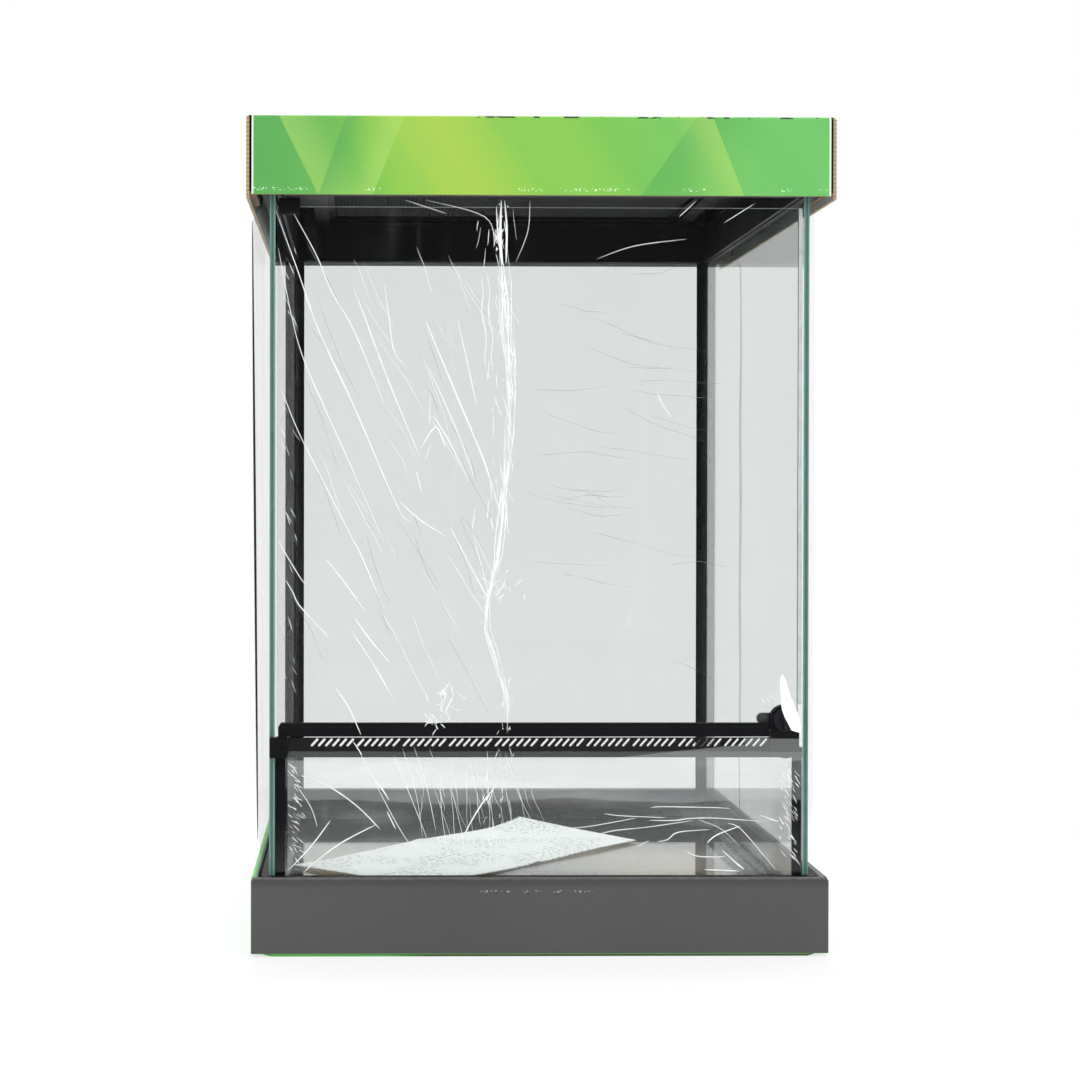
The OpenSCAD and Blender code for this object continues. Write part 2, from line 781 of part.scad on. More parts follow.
// carton tray: walls of rolled double board on a bottom panel with cut corners
module bottom_tray() {
  inset = 2;
  cut = 9;
  fold_r = tray_wall / 2;
  px = carton_x - inset;
  py = carton_y - inset;
  color("#565656") {
    linear_extrude(tray_floor)
      polygon([
        [-px + cut, -py], [px - cut, -py], [px, -py + cut], [px, py - cut],
        [px - cut, py], [-px + cut, py], [-px, py - cut], [-px, -py + cut]
      ]);
    difference() {
      ring(2 * carton_x, 2 * carton_y, 1.2, tray_wall, tray_floor - 0.01, tray_h - fold_r);
      // slits where the side walls' ends meet the front and rear walls
      for (sx = [-1, 1], sy = [-1, 1])
        translate([sx * carton_x, sy * (carton_y - board_t), tray_h / 2 + 3])
          cube([0.8, 0.4, tray_h], center = true);
    }
    for (s = [-1, 1]) {
      translate([-carton_x + 1.2, s * (carton_y - fold_r), tray_h - fold_r])
        rotate([0, 90, 0])
          cylinder(r = fold_r, h = 2 * carton_x - 2.4);
      translate([s * (carton_x - fold_r), -carton_y + tray_wall + 0.4, tray_h - fold_r])
        rotate([-90, 0, 0])
          cylinder(r = fold_r, h = 2 * carton_y - 2 * tray_wall - 0.8);
    }
  }
}

module leaflet() {
  x = -in_x + floor_bead + 0.7 + leaflet_l * cos(leaflet_turn);
  color("#f4f4f2")
    translate([x, in_y - leaflet_back, z_floor])
      rotate(leaflet_turn)
        translate([-leaflet_l, -leaflet_w, 0])
          cube([leaflet_l, leaflet_w, leaflet_t]);
}

// shrink film on the door pane, cut round the shoes and the latch
module film_door() {
  z0 = z_door + rail_h + 0.3;
  z_l = z_spindle + latch_r + 0.5;
  z_u = z_door_top - shoe_h - 0.4;
  color("#ffffff", 0.3)
    along_y(-glass_y - film_t, -glass_y)
      polygon([
        [door_x0 + 0.5, z0], [rail_x1, z0], [rail_x1, z_l], [door_x1 - 0.4, z_l],
        [door_x1 - 0.4, z_glass1 - 0.5], [shoe_x1 + 0.5, z_glass1 - 0.5], [shoe_x1 + 0.5, z_u],
        [door_x0 + 0.5, z_u]
      ]);
}

module film_lower_front() {
  color("#ffffff", 0.3)
    block([-in_x + block_w - block_lap + 0.3, strip_y0 - film_t, tray_h + 0.5],
      [latch_x - latch_r - 0.3, strip_y0, z_strip_top - 0.2]);
}

// shrink film over a side, from the base frame's wall to the top frame's wall
module film_side(s) {
  color("#ffffff", 0.3)
    translate([s * (frame_w / 2 + film_t / 2), 0, (z_film0 + z_film1) / 2])
      cube([film_t, frame_d - 2 * film_in, z_film1 - z_film0], center = true);
}

module film_left() {
  film_side(-1);
}

module film_right() {
  film_side(1);
}

module film_back() {
  color("#ffffff", 0.3)
    translate([0, frame_d / 2 + film_t / 2, (z_film0 + z_film1) / 2])
      cube([frame_w - 2 * film_in, film_t, z_film1 - z_film0], center = true);
}

base_frame();
floor_glass();
back_glass();
left_glass();
right_glass();
lower_front_glass();
silicone_floor();
silicone_rear();
silicone_front();
vent_strip();
hinge_block();
latch_keeper();
hinge_pins();
top_frame();
door_glass();
door_bottom_rail();
door_hinge_lower();
door_hinge_upper();
door_seal();
latch_housing();
latch_knob();
latch_cam();
latch_screw();
lid_frame();
lid_mesh();
lid_retainer();
left_inlet_shutter();
right_inlet_shutter();
top_cap();
bottom_tray();
leaflet();
film_door();
film_lower_front();
film_left();
film_right();
film_back();
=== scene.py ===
# %% [markdown]
# # A front-opening glass terrarium in its cartons
# The CAD part gives every rigid piece in its place. This script gives each of them a finish, and makes the
# pieces that a solid modeller draws too plainly: the woven mesh, the shrink film with its creases, the
# leaflet that curls, the printed cartons. Lengths are metres, and the door faces -Y.

# %% Load the frame
import json
import math
import random
import bpy
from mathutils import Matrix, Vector

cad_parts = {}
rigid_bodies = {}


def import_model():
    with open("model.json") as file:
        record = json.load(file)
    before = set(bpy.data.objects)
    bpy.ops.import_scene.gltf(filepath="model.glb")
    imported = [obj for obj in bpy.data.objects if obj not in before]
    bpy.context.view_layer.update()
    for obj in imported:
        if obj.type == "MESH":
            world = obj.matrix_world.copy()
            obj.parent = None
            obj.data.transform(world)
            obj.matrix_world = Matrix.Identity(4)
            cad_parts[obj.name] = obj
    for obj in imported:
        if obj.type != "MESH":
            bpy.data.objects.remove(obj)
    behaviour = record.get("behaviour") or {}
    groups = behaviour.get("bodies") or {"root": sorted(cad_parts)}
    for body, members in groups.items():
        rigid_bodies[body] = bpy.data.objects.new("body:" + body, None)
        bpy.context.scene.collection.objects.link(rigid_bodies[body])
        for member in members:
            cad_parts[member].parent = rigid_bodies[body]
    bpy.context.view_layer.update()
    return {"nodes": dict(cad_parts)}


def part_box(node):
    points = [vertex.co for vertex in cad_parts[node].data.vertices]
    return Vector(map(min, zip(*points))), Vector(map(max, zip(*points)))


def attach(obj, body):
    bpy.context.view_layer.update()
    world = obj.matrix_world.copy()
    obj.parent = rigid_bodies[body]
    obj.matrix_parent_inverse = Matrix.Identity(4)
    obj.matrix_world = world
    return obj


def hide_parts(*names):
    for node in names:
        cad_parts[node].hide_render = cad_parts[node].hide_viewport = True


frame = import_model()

cad = frame["nodes"]

# %% [markdown]
# ## Camera
# The photo was taken square on, from about one metre, and then cropped, so its vanishing point lies left of
# the middle. A shifted lens gives that. Part of the crop is made by turning the camera a little, because a
# large shift would push the object out of the frame when the camera moves round it.

# %% Camera
camera_data = bpy.data.cameras.new("camera")
camera = bpy.data.objects.new("camera", camera_data)
bpy.context.scene.collection.objects.link(camera)
camera_data.lens = 62.0
camera_data.sensor_width = 36
camera_data.shift_x = 0.14
camera_data.shift_y = -0.0306
camera.location = (-0.0953, -1.1483, 0.2463)
camera.rotation_mode = "XYZ"
camera.rotation_euler = [math.radians(angle) for angle in (89.686, -0.095, -0.791)]
bpy.context.scene.camera = camera
print("camera at", tuple(round(v, 3) for v in camera.location))

# %% [markdown]
# ## Studio
# A white floor and a white surround, with large soft lamps in front, above and behind. The surround shows
# white to the camera, to mirrors and to glass. On the camera's own side it is dark in reflections, as a
# studio is behind the photographer, so the panes stay clear. Two lamps, one before the tank and one behind
# it, show in no reflection.

# %% Surround and lamps
world = bpy.data.worlds.new("surround")
bpy.context.scene.world = world
world.use_nodes = True
bpy.context.scene.view_settings.view_transform = "Standard"


def set_up_world():
    """White for the camera and through glass, dark behind the photographer in every reflection."""
    nodes, links = world.node_tree.nodes, world.node_tree.links
    nodes.clear()
    path = nodes.new("ShaderNodeLightPath")
    way = nodes.new("ShaderNodeTexCoord")
    split = nodes.new("ShaderNodeSeparateXYZ")
    links.new(way.outputs["Generated"], split.inputs[0])
    # Nearly 0 for a ray that leaves towards the camera's side, and 1 for the other sides
    behind = nodes.new("ShaderNodeMapRange")
    behind.interpolation_type = "SMOOTHSTEP"
    for name, value in {"From Min": -0.7, "From Max": 0.1, "To Min": 0.03, "To Max": 1.0}.items():
        behind.inputs[name].default_value = value
    links.new(split.outputs["Y"], behind.inputs["Value"])
    white = nodes.new("ShaderNodeBackground")
    white.inputs["Color"].default_value = (1, 1, 1, 1)
    soft = nodes.new("ShaderNodeBackground")
    soft.inputs["Color"].default_value = (0.96, 0.98, 1.0, 1)
    soft.inputs["Strength"].default_value = 0.8
    mirrored = nodes.new("ShaderNodeBackground")
    mirrored.inputs["Color"].default_value = (1, 1, 1, 1)
    links.new(behind.outputs[0], mirrored.inputs["Strength"])
    # 1 for the camera, and through glass on a path that nothing has mirrored
    direct = nodes.new("ShaderNodeMath")
    direct.operation = "LESS_THAN"
    links.new(path.outputs["Glossy Depth"], direct.inputs[0])
    direct.inputs[1].default_value = 0.5
    seen = nodes.new("ShaderNodeMath")
    seen.operation = "MULTIPLY_ADD"
    seen.use_clamp = True
    links.new(path.outputs["Is Transmission Ray"], seen.inputs[0])
    links.new(direct.outputs[0], seen.inputs[1])
    links.new(path.outputs["Is Camera Ray"], seen.inputs[2])
    reflected = nodes.new("ShaderNodeMath")
    reflected.operation = "MAXIMUM"
    links.new(path.outputs["Is Glossy Ray"], reflected.inputs[0])
    links.new(path.outputs["Is Transmission Ray"], reflected.inputs[1])
    glossy = nodes.new("ShaderNodeMixShader")
    links.new(reflected.outputs[0], glossy.inputs[0])
    links.new(soft.outputs[0], glossy.inputs[1])
    links.new(mirrored.outputs[0], glossy.inputs[2])
    both = nodes.new("ShaderNodeMixShader")
    links.new(seen.outputs[0], both.inputs[0])
    links.new(glossy.outputs[0], both.inputs[1])
    links.new(white.outputs[0], both.inputs[2])
    out = nodes.new("ShaderNodeOutputWorld")
    links.new(both.outputs[0], out.inputs["Surface"])


set_up_world()


def lamp(name, place, aim, size, power, mirrored=True):
    """A square soft lamp aimed at a point; mirrored says if reflections and glass show it."""
    data = bpy.data.lights.new(name, "AREA")
    data.shape = "SQUARE"
    data.size = size
    data.energy = power
    thing = bpy.data.objects.new(name, data)
    bpy.context.scene.collection.objects.link(thing)
    thing.location = place
    thing.rotation_euler = (Vector(aim) - Vector(place)).to_track_quat("-Z", "Y").to_euler()
    thing.visible_glossy = thing.visible_transmission = mirrored


lamp("lamp_left", (-1.1, -1.3, 1.5), (0, 0, 0.22), 1.1, 9)
lamp("lamp_right", (1.3, -1.1, 1.3), (0, 0, 0.22), 1.0, 6)
lamp("lamp_top", (0.1, 0.5, 1.9), (0, 0, 0.3), 1.4, 10)
lamp("lamp_inside", (0.0, -1.5, 0.95), (0, 0.1, 0.1), 0.9, 6, mirrored=False)
lamp("lamp_rear", (0.0, 1.3, 1.1), (0, 0, 0.03), 0.8, 21, mirrored=False)
print("lamps: 5")

# %% [markdown]
# ## Sums of sockets
# A finish is a network of nodes, and much of it is sums and products of numbers. They are written as Python
# sums and products here, and the class below turns each into a Math node. That keeps a finish short enough to
# read as a recipe.

# %% Sums of sockets
class Value:
    """A number or colour that a node gives, to be used in Python sums."""

    def __init__(self, finish, socket):
        self.finish, self.socket = finish, socket

    def also(self, name):
        """Another output of the same node."""
        return Value(self.finish, self.socket.node.outputs[name])

    def sum_node(self, operation, a, b=None):
        """A Math node on one or two numbers."""
        inputs = {0: a} if b is None else {0: a, 1: b}
        return self.finish.node("Math", {"operation": operation}, inputs)

    def __add__(self, other): return self.sum_node("ADD", self, other)
    def __radd__(self, other): return self.sum_node("ADD", other, self)
    def __sub__(self, other): return self.sum_node("SUBTRACT", self, other)
    def __rsub__(self, other): return self.sum_node("SUBTRACT", other, self)
    def __mul__(self, other): return self.sum_node("MULTIPLY", self, other)
    def __rmul__(self, other): return self.sum_node("MULTIPLY", other, self)
    def __pow__(self, other): return self.sum_node("POWER", self, other)
    def __gt__(self, other): return self.sum_node("GREATER_THAN", self, other)
    def __lt__(self, other): return self.sum_node("LESS_THAN", self, other)
    def __abs__(self): return self.sum_node("ABSOLUTE", self)
    def __or__(self, other): return self.sum_node("MAXIMUM", self, other)


print("sums of sockets ready")

# %% [markdown]
# ## One material
# Every other node comes from one method, which takes its type, its settings and its sockets. The nodes that
# most finishes use, such as noise and ramps, have a short method of their own. Each finish starts with the
# place and the normal of the point that is shaded, because most patterns here follow the place.

# %% Materials
class Finish:
    """One material, built node by node."""

    def __init__(self, name):
        self.material = bpy.data.materials.new(name)
        self.material.use_nodes = True
        self.tree = self.material.node_tree
        self.tree.nodes.clear()
        where = self.node("TexCoord", out="Object")
        split = self.node("SeparateXYZ", inputs={0: where})
        self.where, self.x, self.y, self.z = where, split, split.also("Y"), split.also("Z")
        facing = self.node("SeparateXYZ", inputs={0: where.also("Normal")})
        self.nx, self.ny, self.nz = facing, facing.also("Y"), facing.also("Z")

    def node(self, kind, settings=None, inputs=None, out=0):
        """Adds a node: its settings first, then the values or links of its sockets."""
        made = self.tree.nodes.new("ShaderNode" + kind)
        for key, value in (settings or {}).items():
            setattr(made, key, value)
        for key, value in (inputs or {}).items():
            if isinstance(value, Value):
                self.tree.links.new(value.socket, made.inputs[key])
            else:
                made.inputs[key].default_value = value
        return Value(self, made.outputs[out])

    def noise(self, scale, detail=3.0, rough=0.5, stretch=None, vector=None):
        """Cloudy noise from 0 to 1; scale is in features per metre, stretch per axis."""
        vector = vector or self.where
        if stretch:
            vector = self.node("Mapping", inputs={"Vector": vector, "Scale": stretch})
        sockets = {"Vector": vector, "Scale": scale, "Detail": detail, "Roughness": rough}
        return self.node("TexNoise", inputs=sockets)

    def ramp(self, value, low, high, to=(0.0, 1.0)):
        """Maps low..high smoothly onto to, and holds the ends."""
        ends = {"Value": value, "From Min": low, "From Max": high, "To Min": to[0], "To Max": to[1]}
        return self.node("MapRange", {"interpolation_type": "SMOOTHSTEP"}, ends)

    def blend(self, share, a, b):
        """Colour a where share is 0 and b where it is 1."""
        return self.node("Mix", {"data_type": "RGBA"}, {0: share, 6: a, 7: b}, out=2)

    def bump(self, height, distance, strength):
        """Relief that only shades: distance is its height in metres."""
        return self.node("Bump", inputs={"Height": height, "Distance": distance, "Strength": strength})

    def shader(self, **sockets):
        """The Principled shader; an underscore in a name stands for the space in the socket's name."""
        names = {key.replace("_", " "): value for key, value in sockets.items()}
        return self.node("BsdfPrincipled", inputs=names)

    def finish(self, surface):
        """Joins the surface to the output, and gives the material."""
        out = self.tree.nodes.new("ShaderNodeOutputMaterial")
        self.tree.links.new(surface.socket, out.inputs["Surface"])
        return self.material


def rgb(text):
    """A linear colour from the six hex digits that a paint program shows."""
    part = [int(text[i:i + 2], 16) / 255 for i in (0, 2, 4)]
    return tuple(((c + 0.055) / 1.055) ** 2.4 if c > 0.04045 else c / 12.92 for c in part) + (1.0,)


print("a mid grey is", round(rgb("808080")[0], 3), "in linear light")

# %% [markdown]
# ## Finishing a piece
# A CAD node only gets its material. A piece that is modelled here also says on which body it rides, what kind
# of thing it is made of, and which CAD nodes it stands for.

# %% Helpers for pieces
def paint(material, *names):
    """Gives CAD nodes a finish."""
    for name in names:
        cad[name].data.materials.clear()
        cad[name].data.materials.append(material)


def wear(piece, body, material, replaces=()):
    """Puts a finished piece on its body, with its finish and the nodes it stands for."""
    piece.data.materials.clear()
    piece.data.materials.append(material)
    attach(piece, body)
    if replaces:
        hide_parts(*replaces)
    print(piece.name, "faces:", len(piece.data.polygons))


def deselect():
    """An operator acts on all that is selected, so this comes before each new piece."""
    for thing in bpy.context.view_layer.objects:
        thing.select_set(False)


print("helpers ready")

# %% [markdown]
# ## Floor of the studio
# A wide plane. Close to the carton the camera sees mostly the lit surface, which holds a soft shadow. Further
# out it turns to plain white, so there is no horizon against the white surround. Panes mirror little of the
# part that lies before the object.

# %% Studio floor
deselect()
bpy.ops.mesh.primitive_plane_add(size=12, location=(0, 0, 0))
floor = bpy.context.active_object
floor.name = "studio_floor"
f = Finish("studio_white")
path = f.node("LightPath", out="Is Camera Ray")
looked_at = path | path.also("Is Transmission Ray") | path.also("Is Glossy Ray")
lit = f.node("BsdfDiffuse", inputs={"Color": (0.9, 0.9, 0.9, 1)})
plain = f.node("Emission", inputs={"Color": (1, 1, 1, 1), "Strength": 1.0})
dim = f.node("Emission", inputs={"Color": (1, 1, 1, 1), "Strength": 0.1})
far = f.ramp((f.x * f.x + f.y * f.y) ** 0.5, 0.2, 0.5, (0.7, 1.0))
in_front = (path.also("Glossy Depth") > 0.5) * f.ramp(f.y, -0.25, -0.6)
backdrop = f.node("MixShader", inputs={0: in_front, 1: plain, 2: dim})
floor.data.materials.append(f.finish(f.node("MixShader", inputs={0: looked_at * far, 1: lit, 2: backdrop})))
print("floor:", floor.name)

# %% [markdown]
# ## Black plastic
# The two frames, the strip and the door's fittings are injection moulded in black with a fine spark-eroded
# grain. A very fine bump gives the grain, clouds in the colour and the roughness keep the faces from looking
# flat, and scuffs from handling are a little lighter.

# %% Moulded plastic
def moulded_plastic(name, base, light, gloss):
    """Black plastic, from base to light in soft clouds; gloss is the lowest roughness."""
    f = Finish(name)
    grain = f.noise(2600, 2)
    cloud = f.noise(18, 4)
    scuff = f.ramp(f.noise(60, 6, 0.7, stretch=(1, 6, 2)), 0.62, 0.8)
    colour = f.blend(cloud, base, light)
    colour = f.blend(scuff * 0.12, colour, rgb("4a4a4e"))
    rough = f.ramp(cloud, 0.3, 0.7, (gloss, gloss + 0.12)) + grain * 0.06
    return f.finish(f.shader(Base_Color=colour, Roughness=rough, Specular_IOR_Level=0.24,
                             Normal=f.bump(grain, 0.00002, 0.3)))


frame_black = moulded_plastic("frame_plastic", rgb("09090b"), rgb("101013"), 0.42)
strip_black = moulded_plastic("strip_plastic", rgb("0c0c0f"), rgb("131317"), 0.34)
knob_black = moulded_plastic("knob_plastic", rgb("1a1a1e"), rgb("26262b"), 0.3)
paint(frame_black, "base_frame", "top_frame", "hinge_block", "door_hinge_lower", "door_hinge_upper",
      "lid_frame", "lid_retainer", "left_inlet_shutter", "right_inlet_shutter")
paint(strip_black, "vent_strip", "latch_keeper", "latch_housing", "door_bottom_rail")
paint(knob_black, "latch_knob")
print("plastic finishes: 3")

# %% [markdown]
# ## Glass
# Float glass is clear with a cool tint, and it looks teal only where one looks along it, at its ground edge.
# The faces are real glass that bends light. Rays from lamps pass them straight, as through a thin pane. The
# cut edges are found by their normal and place, and painted as the matt teal that they show.

# %% Panes
edge_middle, edge_reach = 0.1443, 0.0014


def pane_glass(name, tint, edge_test=None):
    """Clear glass; edge_test says where the ground edge is, and how pale its teal is there."""
    f = Finish(name)
    smear = f.ramp(f.noise(9, 5, 0.6, stretch=(1, 1, 0.5)), 0.5, 0.85)
    body = f.shader(Base_Color=tint, Roughness=smear * 0.035, IOR=1.5, Transmission_Weight=1.0)
    if edge_test:
        mask, paleness = edge_test(f)
        grind = f.noise(900, 3, stretch=(1, 1, 0.15))
        teal = f.blend(paleness, rgb("1d4641"), rgb("5d8981"))
        teal = f.blend(grind * 0.2, teal, rgb("a8c4bc"))
        edge = f.shader(Base_Color=teal, Roughness=0.35, Specular_IOR_Level=0.5,
                        Normal=f.bump(grind, 0.0002, 0.4))
        body = f.node("MixShader", inputs={0: mask, 1: body, 2: edge})
    path = f.node("LightPath", out="Is Shadow Ray")
    through = path | path.also("Is Diffuse Ray")
    straight = f.node("BsdfTransparent", inputs={"Color": tuple(0.96 * c for c in tint[:3]) + (1,)})
    return f.finish(f.node("MixShader", inputs={0: through, 1: body, 2: straight}))


def upright_edges(f):
    """The front and rear edges of a side pane."""
    return abs(f.ny) > 0.7, f.ramp(abs(abs(f.x) - edge_middle), 0.0, edge_reach)


def thin_edges(f):
    """The upright edges of the door's, back and low panes, and their level edges above 0.1 m."""
    mask = (abs(f.nx) > 0.7) | (abs(f.nz) > 0.7) * (f.z > 0.1)
    return mask, f.noise(40, 2) * 0.6


paint(pane_glass("side_pane", (0.925, 0.945, 0.935, 1), upright_edges), "left_glass", "right_glass")
paint(pane_glass("pane", (0.915, 0.932, 0.924, 1), thin_edges),
      "door_glass", "back_glass", "lower_front_glass")
paint(pane_glass("floor_pane", (0.93, 0.95, 0.94, 1)), "floor_glass")
print("glass finishes: 3")

# %% [markdown]
# ## Silicone, steel and seal
# The beads are tooled black silicone with a wet gloss and slight waves along them. Pins, cam and screw are
# bright zinc, brushed by tumbling. The door's seal is a clear soft profile that looks milky.

# %% Small finishes
f = Finish("silicone")
wave = f.noise(70, 3, stretch=(1, 1, 0.4))
black_bead = f.finish(f.shader(Base_Color=f.blend(wave, rgb("0c0c0e"), rgb("16161a")),
                               Roughness=f.ramp(wave, 0.3, 0.7, (0.22, 0.36)), Specular_IOR_Level=0.35,
                               Normal=f.bump(wave, 0.0006, 0.5)))
paint(black_bead, "silicone_floor", "silicone_rear", "silicone_front")

f = Finish("steel")
brushed = f.noise(500, 3, stretch=(1, 1, 8))
bright = f.finish(f.shader(Base_Color=f.blend(brushed, rgb("9a9da0"), rgb("c4c6c8")), Metallic=1.0,
                           Roughness=f.ramp(brushed, 0.2, 0.8, (0.22, 0.42)),
                           Normal=f.bump(brushed, 0.0001, 0.4)))
paint(bright, "hinge_pins", "latch_cam", "latch_screw")

f = Finish("seal")
milky = f.noise(120, 3)
paint(f.finish(f.shader(Base_Color=f.blend(milky, rgb("aeb8b4"), rgb("c9d2ce")), Roughness=0.3,
                        Alpha=f.ramp(milky, 0.2, 0.8, (0.55, 0.75)))), "door_seal")
print("small finishes: 3")

# %% [markdown]
# ## Printed cap
# The cap is corrugated board with a glossy printed face. Its print is a green that turns yellow-green left
# of the middle, crossed by slanting beams that are sharp on one side. Ramps across the front draw it, so it
# stays sharp at any size. White specks by the lower edge are painted highlights of bubbles in the film. The
# pale corner edges are worn by rubbing and carry a painted highlight, and dark dashes along the top fold are
# painted shade of the film's crinkling.

# %% Cap print
cap_middle = 0.4285
front_end, side_board = 0.1551, 0.156


def inner_side(f):
    """Faces that look towards the middle of the carton."""
    return f.nx * f.x + f.ny * f.y < -0.05


def beam(f, edge, width, lean):
    """A slanting beam of light in the print: sharp at its edge, fading over its width."""
    across = (f.x - edge + (f.z - cap_middle) * lean) * (1 if width > 0 else -1)
    return (across > 0) * f.ramp(across, 0.0, abs(width), (1.0, 0.0))


f = Finish("cap_board")
fibre = f.noise(700, 4)
green = f.blend(f.ramp(f.x, -0.15, -0.06), rgb("52a04b"), rgb("72b63c"))
green = f.blend(f.ramp(f.x, -0.01, 0.14), green, rgb("66b45c"))
middle = 1 - f.ramp(abs(f.x + 0.05 + (f.z - 0.43) * 0.5), 0.0, 0.06)
second = 1 - f.ramp(abs(f.x - 0.02 + (f.z - 0.41) * 0.6), 0.0, 0.045)
green = f.blend(middle * 0.9, green, rgb("9cbe3e"))
green = f.blend(second * 0.75, green, rgb("80ba46"))
pale_green, deep_green = rgb("a0c85c"), rgb("48984a")
beams = ((-0.13, 0.03, 0.5, pale_green), (-0.112, 0.014, -0.35, deep_green),
         (-0.082, -0.02, -0.4, pale_green), (0.068, 0.05, -0.7, deep_green), (0.1, -0.03, 0.4, pale_green))
for edge, width, lean, shade in beams:
    green = f.blend(beam(f, edge, width, lean) * 0.5, green, shade)
slanted = f.node("CombineXYZ", inputs={"X": f.x * 0.8 + f.z * 0.6, "Y": f.y * 0.2})
rays = f.noise(60, 2, 0.4, vector=slanted)
green = f.blend(f.ramp(rays, 0.45, 0.65) * 0.12, green, rgb("4aa64e"))
facing = abs(f.ny) > 0.7
# White specks by the lower edge: painted highlights of bubbles in the film
specks = (f.noise(1100, 1) > 0.63) * (f.noise(30, 2) > 0.5) * (abs(f.z - 0.4105) < 0.0008)
green = f.blend(specks * facing * 0.7, green, rgb("eefbe4"))
# Pale corner edges: wear from rubbing, with a painted highlight along the fold
edge_wear_and_highlight = facing * f.ramp(abs(f.x), 0.1537, 0.1546) * (abs(f.x) < front_end)
green = f.blend(edge_wear_and_highlight * 0.75, green, rgb("f2f8ee"))
# Dark dashes along the top fold: painted shade of the film's crinkling
top_fold = (f.z > 0.4487) * (abs(f.y) > 0.1535)
crinkle_shade = top_fold * (f.noise(160, 3) > 0.55) * (f.x > -0.04)
green = f.blend(crinkle_shade, green, rgb("163a1e"))
print("beams in the print:", len(beams))

# %% [markdown]
# ## The cap's bare board
# Where no print lies, the board shows. Inside it is grey. At the side panels' cut ends and along the lower
# edge it is brown, and a wave texture gives the flutes. The print alone has a thin varnish, which is a coat
# in the shader.

# %% Cap board
inner = inner_side(f) | (f.nz < -0.5) * (f.z > 0.43)
grey = f.blend(f.noise(30, 4), rgb("8b8f8c"), rgb("a5a8a5"))
ends = facing * (abs(f.x) > side_board)
raw = ends | (f.nz < -0.5) * (f.z < 0.42)
flute = f.node("TexWave", {"wave_type": "BANDS", "bands_direction": "Z"},
               {"Vector": f.where, "Scale": 130, "Distortion": 1.5})
# Painted shadow: a near-black band in the gap between the front panel's end and the side panel
gap_shadow = facing * (abs(f.x) > front_end) * (abs(f.x) < 0.1564) * (abs(f.y) < 0.1545)
colour = f.blend(inner, green, grey)
colour = f.blend(raw, colour, f.blend(flute, rgb("b0966f"), rgb("8c7050")))
colour = f.blend(gap_shadow, colour, rgb("0d0b08"))
scratch = f.ramp(f.noise(240, 5, 0.7), 0.6, 0.8)
colour = f.blend(scratch * 0.06, colour, rgb("f2f6ea"))
plain_side = inner | raw
paint(f.finish(f.shader(Base_Color=colour, Roughness=f.ramp(plain_side, 0, 1, (0.32, 0.85)),
                        Coat_Weight=(1 - plain_side) * 0.2, Coat_Roughness=0.2,
                        Normal=f.bump(fibre, 0.0001, 0.3))), "top_cap")
print("cap finish ready")

# %% [markdown]
# ## Printed tray
# The tray is printed matt dark grey on its front and rear, and green on its other two sides and on the edge
# of its bottom panel. Towards the right that edge turns olive at its foot, which is painted shade. The front
# darkens towards its top, painted shade of the rolled fold, under a pale line of rubbing with a painted
# highlight. Inside, its walls are grey and its floor is raw brown board, which shows through the floor pane.
# Each part is found by its height, its place or the way it faces, and the later rules lie over the earlier
# ones.

# %% Tray finish
tray_face = 0.1514
panel_top, olive_shade_top = 0.0019, 0.0011
f = Finish("tray_board")
fibre = f.noise(700, 4)
front = abs(f.y) > tray_face
dark = f.blend(f.noise(12, 4), rgb("494747"), rgb("525050"))
# Painted shade of the rolled top fold: the front darkens towards its top
dark = f.blend(f.ramp(f.z, 0.036, 0.0405) * 0.45, dark, rgb("343232"))
green = f.blend(f.noise(20, 3), rgb("58b35c"), rgb("78c96a"))
outside = (abs(f.x) > 0.153) * (abs(f.nx) > 0.5)
left_fold = (f.x < -tray_face) * (1 - front)
colour = f.blend(outside * (1 - front) | left_fold, dark, green)
# Painted shade: the foot of the bottom panel's edge turns olive towards the right
olive = f.ramp(f.x + f.noise(30, 2) * 0.02, -0.075, -0.045) * (f.z < olive_shade_top)
colour = f.blend(f.z < panel_top, colour, f.blend(olive, green, rgb("5c5f42")))
colour = f.blend(inner_side(f), colour, rgb("858a84"))
kraft = f.blend(f.noise(90, 5, 0.7, stretch=(1, 5, 1)), rgb("8f7757"), rgb("a58c69"))
colour = f.blend((f.nz > 0.7) * (f.z < 0.01), colour, kraft)
dots = (f.noise(1100, 1) > 0.62) * (abs(f.z - 0.0352) < 0.0006) * (abs(f.x + 0.002) < 0.03)
colour = f.blend(dots * 0.5, colour, rgb("c9c9c9"))
# A pale line along the top: wear from rubbing, with a painted highlight along the fold
rubbing_and_highlight = f.ramp(f.z + f.noise(300, 4) * 0.002, 0.0418, 0.0438)
colour = f.blend(rubbing_and_highlight * (1 - left_fold) * 0.3, colour, rgb("8d8b8a"))
paint(f.finish(f.shader(Base_Color=colour, Roughness=f.ramp(fibre, 0.2, 0.8, (0.42, 0.58)),
                        Specular_IOR_Level=0.4, Normal=f.bump(fibre, 0.0001, 0.3))), "bottom_tray")
print("tray finish ready")

# %% [markdown]
# ## Woven lid mesh
# The real lid holds a fine wire mesh. In the solid a thin sheet with a few wires in relief stands for it.
# Here each wire is a thin bar of its own, in two layers that cross, made once per direction and repeated with
# an Array modifier.

# %% Lid mesh
mesh_low, mesh_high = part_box("lid_mesh")
pitch = 0.0026
wire_radius = 0.00028
layer_offset = 0.0001


